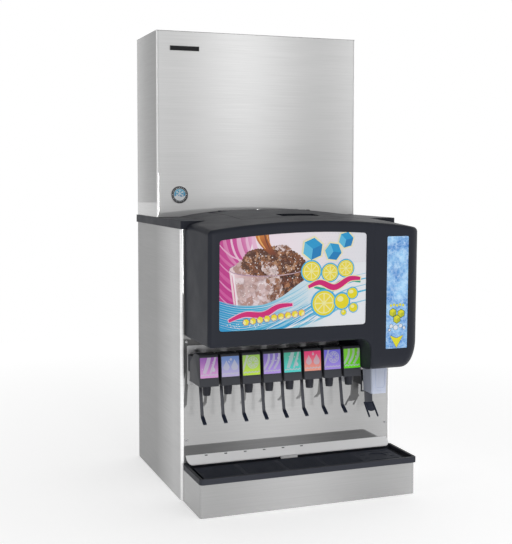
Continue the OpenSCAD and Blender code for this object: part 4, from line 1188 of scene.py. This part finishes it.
def make_lever(i, mat, foot):
    x = valve_x(i)
    pivot, bend, tip = (-71.0, 416.0), (-95.5, 298.8), (-126.0, 278.6)
    turn = 5.0
    length = math.dist(pivot, bend)
    path = [between(pivot, bend, t) for t in (0.0, 0.1, 0.5, 0.8, 1 - turn / length)]
    start, end = path[-1], between(bend, tip, turn / math.dist(bend, tip))
    path += [tuple((1 - k) ** 2 * a + 2 * k * (1 - k) * b + k * k * c for a, b, c in zip(start, bend, end))
             for k in (0.25, 0.5, 0.75)]
    sections = [(5.2, 1.7), (5.2, 1.7), (5.1, 1.75), (5.1, 1.8), (5.2, 1.9), (5.3, 1.95), (5.5, 2.0),
                (5.7, 2.0), (6.0, 2.0)]
    shank = swept(path + [end], sections)
    rib = swept([between((-69.2, 416), (-94.4, 300), t) for t in (0.06, 0.5, 0.97)],
                [(1.2, 1.6), (1.3, 2.0), (1.2, 1.4)])
    pin = rod((-13.5, *pivot), (13.5, *pivot), 2.5)
    hub = rod((-6, *pivot), (6, *pivot), 5)
    smooth(new_piece("lever_shank_%d" % i, *joined(*(shifted(p, x) for p in (shank, rib, pin, hub))), mat,
                      "lever_%d" % i, "lever_plastic", ["lever_%d" % i]), 40)
    toe = [between(end, tip, t) for t in (-0.04, 0.1, 0.5, 0.86, 0.97, 1.0)]
    pad = swept(toe, [(6.0, 2.1), (6.15, 2.2), (6.2, 2.2), (6.2, 2.2), (6.0, 2.0), (5.4, 1.3)])
    smooth(new_piece("lever_foot_%d" % i, *shifted(pad, x), foot, "lever_%d" % i, "lever_plastic"), 50)


def make_nozzle(i, mat):
    """Ribbed nozzle with a rolled lip and an open bore."""
    x, y, count = valve_x(i), -143.0, 96
    low = 376.0
    profile = [(13.6, VALVE_LOW, 0), (13.6, 393, 0), (13.3, 391.6, 0), (12.7, 390.4, 0), (12.5, 389.5, 1),
               (11.9, 382, 1), (11.7, 380.6, 0), (12.0, 379.6, 0), (12.0, 377.6, 0), (11.5, 376.4, 0),
               (10.8, low, 0), (9.6, low, 0), (8.7, 377, 0), (8.5, 379, 0), (8.5, 403, 0), (4.0, 403.5, 0)]
    rings = []
    for r, z, ribbed in profile:
        ring = []
        for k in range(count):
            a = k * math.tau / count
            size = r + (0.55 * max(0.0, math.cos(a * 16)) if ribbed else 0.0)
            ring.append((x + size * math.cos(a), y + size * math.sin(a), z))
        rings.append(ring)
    piece = new_piece("nozzle_%d" % i, *loft(rings), mat, slot="nozzle_plastic")
    smooth(piece, 32)
    return piece


def make_valve(i, mat):
    """Cover over the valve: rounded block with a label recess, a lower plate and a lever slot."""
    x = valve_x(i)
    (x0, x1), _, _ = span("valve_%d" % i)
    half = (x1 - x0) / 2
    corners = (((-59, VALVE_LOW), 1.0), ((-59, 467), 3.0), ((-110, 507), 9.0), ((-162.5, 507), 1.6),
               ((-166, 502), 1.6), ((-174.8, 410.4), 3.0), ((-172, VALVE_LOW), 2.0))
    outline = []
    for k, (point, r) in enumerate(corners):
        before, after = Vector(corners[k - 1][0]), Vector(corners[(k + 1) % len(corners)][0])
        here = Vector(point)
        a, b = (here + (other - here).normalized() * r for other in (before, after))
        outline += [tuple((1 - t) ** 2 * a + 2 * t * (1 - t) * here + t * t * b)
                    for t in (0, 0.25, 0.5, 0.75, 1)]
    centre = (sum(p[0] for p in outline) / len(outline), sum(p[1] for p in outline) / len(outline))
    rings = []
    for across, inset in ((-half, 1.4), (-half + 0.2, 0.75), (-half + 0.6, 0.3), (-half + 1.4, 0.0),
                          (half - 1.4, 0.0), (half - 0.6, 0.3), (half - 0.2, 0.75), (half, 1.4)):
        ring = []
        for y, z in outline:
            away = Vector((centre[0] - y, centre[1] - z)).normalized() * inset
            ring.append((x + across, y + away[0], z + away[1]))
        rings.append(ring)
    body = new_piece("valve_cover_%d" % i, *loft(rings), mat, slot="valve_plastic",
                     replaces=["valve_%d" % i])
    window = [(y - 10, z) for y, z in ((valve_face_y(LABEL_Z[0] - 0.4), LABEL_Z[0] - 0.4),
                                       (valve_face_y(LABEL_Z[1] + 0.4), LABEL_Z[1] + 0.4))]
    inner = [(y + 11.2, z) for y, z in window]
    recess = [window[0], window[1], inner[1], inner[0]]
    cut(body, *loft([[(x + a, y, z) for y, z in recess] for a in (-LABEL_W / 2 - 0.4, LABEL_W / 2 + 0.4)]))
    cut(body, *box_mesh((x - 7, x + 7), (-86, -50), (400, 424)))
    smooth(body, 28)
    # Lower plate, with a low arch under the label
    edge = [(x + half * (k / 12 * 2 - 1) * 0.97, 431.5 + 2.6 * (1 - (k / 6 - 1) ** 2)) for k in range(13)]
    face = [(x - half * 0.97, 411.5), (x + half * 0.97, 411.5)] + edge[::-1]
    rings = [[(a, valve_face_y(b) + d, b)
              for a, b in [(x + (a - x) * (1 - g / half), b + (g if b < 415 else -g)) for a, b in face]]
             for d, g in ((1.0, 0.0), (-0.25, 0.0), (-0.6, 0.6))]
    smooth(new_piece("valve_plate_%d" % i, *loft(rings), mat, slot="valve_plastic"), 25)
    neck = new_piece("valve_neck_%d" % i, *box_mesh((x - 20, x + 20), (-60, -6), (430, 484)), mat,
                     slot="valve_plastic")
    soften(neck, 1.5)


# ---------- ice chute ----------
def bead(path, depth_at, width, proud):
    """Raised line along a path on a face."""
    rings = []
    for (x, z), (nx, nz) in zip(path, normals(path)):
        rings.append([(x + nx * width / 2 * side, depth_at(z) + depth, z + nz * width / 2 * side)
                      for side, depth in ((1, 0.5), (-1, 0.5), (-0.6, -proud), (0.6, -proud))])
    return loft(rings)


def make_chute(clear, line):
    """Clear drop chute: a duct that narrows to an open mouth, with a moulded rib on its front."""
    top, low = CHUTE_Z[1], CHUTE_Z[0]
    stations = ((top, CHUTE_X, CHUTE_Y), (500.0, CHUTE_X, CHUTE_Y), (436.0, NECK_X, NECK_Y),
                (low, MOUTH_X, MOUTH_Y))
    shells = []
    for inset in (0.0, 2.5):
        rings = []
        for z, x, y in stations:
            height = top - inset if z == top else low - 2 if z == low and inset else z
            outline = round_rect((x[0] + inset, x[1] - inset), (y[0] + inset, y[1] - inset),
                                 [7 - inset] * 4)
            rings.append([(a, b, height) for a, b in outline])
        shells.append(loft(rings))
    chute = new_piece("chute_shell", *shells[0], clear, slot="clear_plastic", replaces=["ice_chute"])
    cut(chute, *shells[1])
    cut(chute, *box_mesh(OUTLET_X, (CHUTE_Y[1] - 4, CHUTE_Y[1] + 2), OUTLET_Z))
    smooth(chute, 40)
    front = lambda z: NECK_Y[0] + (436 - z) / (436 - low) * (MOUTH_Y[0] - NECK_Y[0])
    path = [(256.0, 432.0), (257.0, 372.0)] + arc(266, 362, 9, 9, 180, 270, 5)
    path += arc(281, 362, 9, 9, 270, 360, 5) + [(290.0, 372.0), (291.0, 432.0)]
    ribs = [bead(path, front, 2.4, 1.0), bead([(247.5, 424), (249, 344), (296, 344)], front, 1.6, 0.6)]
    smooth(new_piece("chute_ribs", *joined(*ribs), line, slot="clear_plastic"))


def make_ice_lever(strap_mat, foot_mat):
    """Strap with a turned-up foot between two prongs."""
    x = ICE_LEVER_X
    pivot, bend, tip = (-48.0, 372.0), (-56.0, 288.8), (-92.5, 251.5)
    shank = swept([pivot, (-49.5, 356), (-53.0, 320), (-55.5, 294.0), (-56.6, 289.5)],
                  [(13.0, 1.8), (14.0, 1.8), (14.4, 1.8), (14.5, 1.8), (14.5, 1.6)])
    strap = joined(shifted(shank, x), rod((x - 14.5, *pivot), (x + 14.5, *pivot), 5),
                   rod((x - 19, *pivot), (x + 19, *pivot), 2.5))
    smooth(new_piece("ice_lever_strap", *strap, strap_mat, "ice_lever", "lever_plastic", ["ice_lever"]), 40)
    along = lambda t: between(bend, tip, t)
    rings = []
    for k in range(9):
        across = -1 + k / 4
        y, z = along(0.6 + 0.07 * math.cos(across * math.pi / 2))
        rings.append([(x + across * 13.5, bend[0] + 1.2, bend[1] + 1.0),
                      (x + across * 13.5, bend[0] - 1.2, bend[1] - 1.0),
                      (x + across * 13.5, y - 1.4, z + 0.4), (x + across * 13.5, y + 1.0, z + 2.4)])
    foot = [loft(rings)]
    for side in (-1, 1):
        rail = swept([along(-0.04), along(0.3), along(0.8), along(0.96), (tip[0] - 1.5, tip[1] - 1.8),
                      (tip[0] - 1.6, tip[1] - 4.4)],
                     [(2.6, 2.4), (3.0, 2.6), (3.2, 2.8), (3.3, 3.0), (3.2, 2.8), (2.2, 1.8)], 0.95)
        foot.append(shifted(rail, x + side * 15.8))
    smooth(new_piece("ice_lever_foot", *joined(*foot), foot_mat, "ice_lever", "lever_plastic"), 45)


# ---------- sheet steel sides ----------
def make_side_panel(node, steel, bend, flange, slot):
    """Side sheet whose whole front flange is one soft bend; the bend takes a brighter copy of the steel, a
    painted highlight.
    """
    (x0, x1), (y0, y1), (z0, z1) = span(node)
    t, rear = SHEET, 4.0
    left = min(x0, -x1)
    outline = arc(left + flange, y0 + flange, flange, flange, 270, 180, 10)
    outline += arc(left + rear, y1 - rear, rear, rear, 180, 90, 6)
    outline += [(left + flange, y1), (left + flange, y1 - t)]
    outline += arc(left + rear, y1 - rear, rear - t, rear - t, 90, 180, 6)
    outline += arc(left + flange, y0 + flange, flange - t, flange - t, 180, 270, 10)
    side = 1 if x0 < 0 else -1
    panel = new_piece(node + "_sheet", *prism([(x * side, y) for x, y in outline], (z0, z1)), steel,
                      slot=slot,
                      replaces=[node])
    smooth(panel, 30)
    panel.data.materials.append(bend)
    # painted highlight: the faces of the front bend take the brighter flange steel
    front = place((0, y0 + flange, 0))[1]
    for face in panel.data.polygons:
        if face.center.y < front:
            face.material_index = 1


# ---------- finishes ----------
def make_materials():
    """Finishes by material slot, and a few of this script's own."""
    # The steels' tones are set piece by piece to the brightness each shows under these lamps: lit and
    # shaded copies of one steel, painted light.
    return {
        # painted reflection band across the front steel
        "panel_steel": brushed("panel_steel", 0.235, painted_reflection_band=("X", -0.055, 0.57, 0.26)),
        # painted shade: the maker's front is darker towards its bottom
        "maker_steel": brushed("maker_steel", 0.81, painted_shade_ramp=("Z", 0.85, 1.45, 0.82)),
        # painted reflection band across the skirt
        "skirt_steel": brushed("skirt_steel", 0.205, painted_reflection_band=("X", -0.055, 0.57, 0.28)),
        # painted light: the cabinet sides are lighter towards the front
        "side_steel": brushed("side_steel", 0.66, rough=0.62, mirror=0.0, metal=0.0, gloss=0.08,
                              painted_reflection_band=("Y", -0.29, 1.0, 0.0), painted_shade_ramp=("Y", 0.02, -0.2, 0.67)),
        # painted reflection band along the maker's sides
        "maker_side_steel": brushed("maker_side_steel", 0.5, rough=0.6, mirror=0.08, metal=0.2,
                                    painted_reflection_band=("Y", 0.29, 1.0, 0.04)),
        # painted highlight: a brighter copy of the side steel for the sheets' front bends
        "flange_steel": brushed("flange_steel", 0.92, rough=0.4, mirror=0.35, metal=0.2,
                                painted_reflection_band=("Y", 0.29, 1.0, 0.0)),
        # painted light: a pale dull copy of the steel, as bright as the ledge looks when lit
        "ledge_steel": moulded("ledge_steel", (0.66, 0.66, 0.665), 0.45, spread=0.03, gloss=0.1),
        # painted light: a pale dull copy of the steel that lifts the rail out of the shade under the hood
        "rail_steel": moulded("rail_steel", (0.7, 0.7, 0.71), 0.5, spread=0.04, gloss=0.1),
        "bright_steel": brushed("bright_steel", 0.7, rough=0.3, metal=1.0),
        "base_steel": moulded("base_steel", (0.42, 0.43, 0.44), 0.4, metal=0.8),
        "hood_plastic": moulded("hood_plastic", (0.0255, 0.028, 0.037), 0.42, spread=0.05, gloss=0.07),
        "tray_plastic": moulded("tray_plastic", (0.027, 0.029, 0.037), 0.45, spread=0.05, gloss=0.12),
        "rest_plastic": moulded("rest_plastic", (0.034, 0.039, 0.056), 0.55, spread=0.05, gloss=0.08),
        "screw_steel": moulded("screw_steel", (0.38, 0.38, 0.39), 0.35, metal=0.9),
        "chute_plastic": streaked("chute_plastic", (0.44, 0.475, 0.58), 0.3, 0.85),
        "chute_line": principled("chute_line", (0.36, 0.40, 0.52), 0.3),
        "valve_plastic": moulded("valve_plastic", (0.045, 0.047, 0.055), 0.5, spread=0.06, gloss=0.12),
        "nozzle_plastic": moulded("nozzle_plastic", (0.014, 0.015, 0.021), 0.35, gloss=0.2),
        "lever_plastic": moulded("lever_plastic", (0.036, 0.038, 0.047), 0.42, gloss=0.3),
        "foot_plastic": moulded("foot_plastic", (0.014, 0.018, 0.032), 0.35),
        "display_film": moulded("display_film", (0.75, 0.55, 0.65), 0.2),
        "strip_film": moulded("strip_film", (0.25, 0.5, 0.8), 0.2),
        "label_film": moulded("label_film", (0.5, 0.4, 0.75), 0.2),
        "badge_enamel": moulded("badge_enamel", (0.012, 0.012, 0.014), 0.4, gloss=0.15),
        "clear_plastic": principled("clear_plastic", (0.62, 0.68, 0.82), 0.15, Alpha=0.6),
        "hopper_liner": moulded("hopper_liner", (0.8, 0.81, 0.82), 0.4),
        "cast_aluminium": moulded("cast_aluminium", (0.55, 0.56, 0.57), 0.45, metal=1.0),
        "coil_copper": moulded("coil_copper", (0.72, 0.35, 0.2), 0.35, metal=1.0),
        "compressor_paint": moulded("compressor_paint", (0.015, 0.015, 0.016), 0.3),
    }


def streaked(name, color, rough, alpha):
    """Clear moulding with faint upright flow streaks."""
    mat = principled(name, color, rough, Alpha=alpha)
    streaks = object_noise(mat, 1.0, (120, 120, 4), detail=2.0)
    drive(mat, "Base Color", mix_colors(mat, streaks, shade(color, 0.86), shade(color, 1.12)))
    return mat


THIN_NODES = ("condenser", "product_lines", "evaporator", "screws", "splash_ledge", "splash_panel",
              "valve_rail", "ice_lever", "ice_gate", "cup_rest")
OWN_FINISH = {"maker_front_panel": "maker_steel", "tray_skirt": "skirt_steel",
              "splash_ledge": "ledge_steel",
              "valve_rail": "rail_steel", "cup_rest": "rest_plastic", "screws": "screw_steel",
              "chute_bracket": "nozzle_plastic"}


def dress_cad(finishes):
    """The CAD nodes keep their shape and take this script's finishes by material slot."""
    for name, node in frame["nodes"].items():
        node.data.materials.clear()
        node.data.materials.append(finishes[OWN_FINISH.get(name, slots[name])])
        weld = node.modifiers.new("weld", "WELD")
        weld.merge_threshold = 0.01 * MM
        soften(node, 0.6 if name in THIN_NODES else 1.0)


bpy.context.scene.view_settings.view_transform = "Standard"
slots = {part["node"]: part["material_slot"] for part in frame["record"]["subparts"]}
finishes = make_materials()
make_camera()
make_world()
make_floor()
area_light("key", (1.6, -3.6, 3.4), (0, 0, 0.6), (2.6, 2.0), 17)
area_light("edge", (-4.7, -1.75, 1.0), (0, 0, 0.8), (0.8, 3.6), 34)
area_light("front", (0.0, -6.3, 0.5), (0, 0, 0.5), (1.2, 1.2), 110)
low_spot("low", (0.0, -6.3, 0.14), (0, -0.29, -0.6), 20.0, 560)
dress_cad(finishes)
make_hood(finishes["hood_plastic"])
make_lid(finishes["hood_plastic"], finishes["bright_steel"])
make_display()
make_strip()
make_badges(finishes["badge_enamel"], finishes["bright_steel"])
for i in range(1, 9):
    make_valve(i, finishes["valve_plastic"])
    make_label(i)
    make_lever(i, finishes["lever_plastic"], finishes["foot_plastic"])
make_chute(finishes["chute_plastic"], finishes["chute_line"])
make_ice_lever(finishes["lever_plastic"], finishes["foot_plastic"])
for node, flange in (("cabinet_left_panel", 9.0), ("cabinet_right_panel", 9.0), ("maker_left_panel", 6.0),
                     ("maker_right_panel", 6.0)):
    make_side_panel(node, finishes["side_steel" if node[0] == "c" else "maker_side_steel"],
                    finishes["flange_steel"], flange, slots[node])
nozzles = [make_nozzle(i, finishes["nozzle_plastic"]) for i in range(1, 9)]
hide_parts("valve_nozzles")
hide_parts("valve_labels")
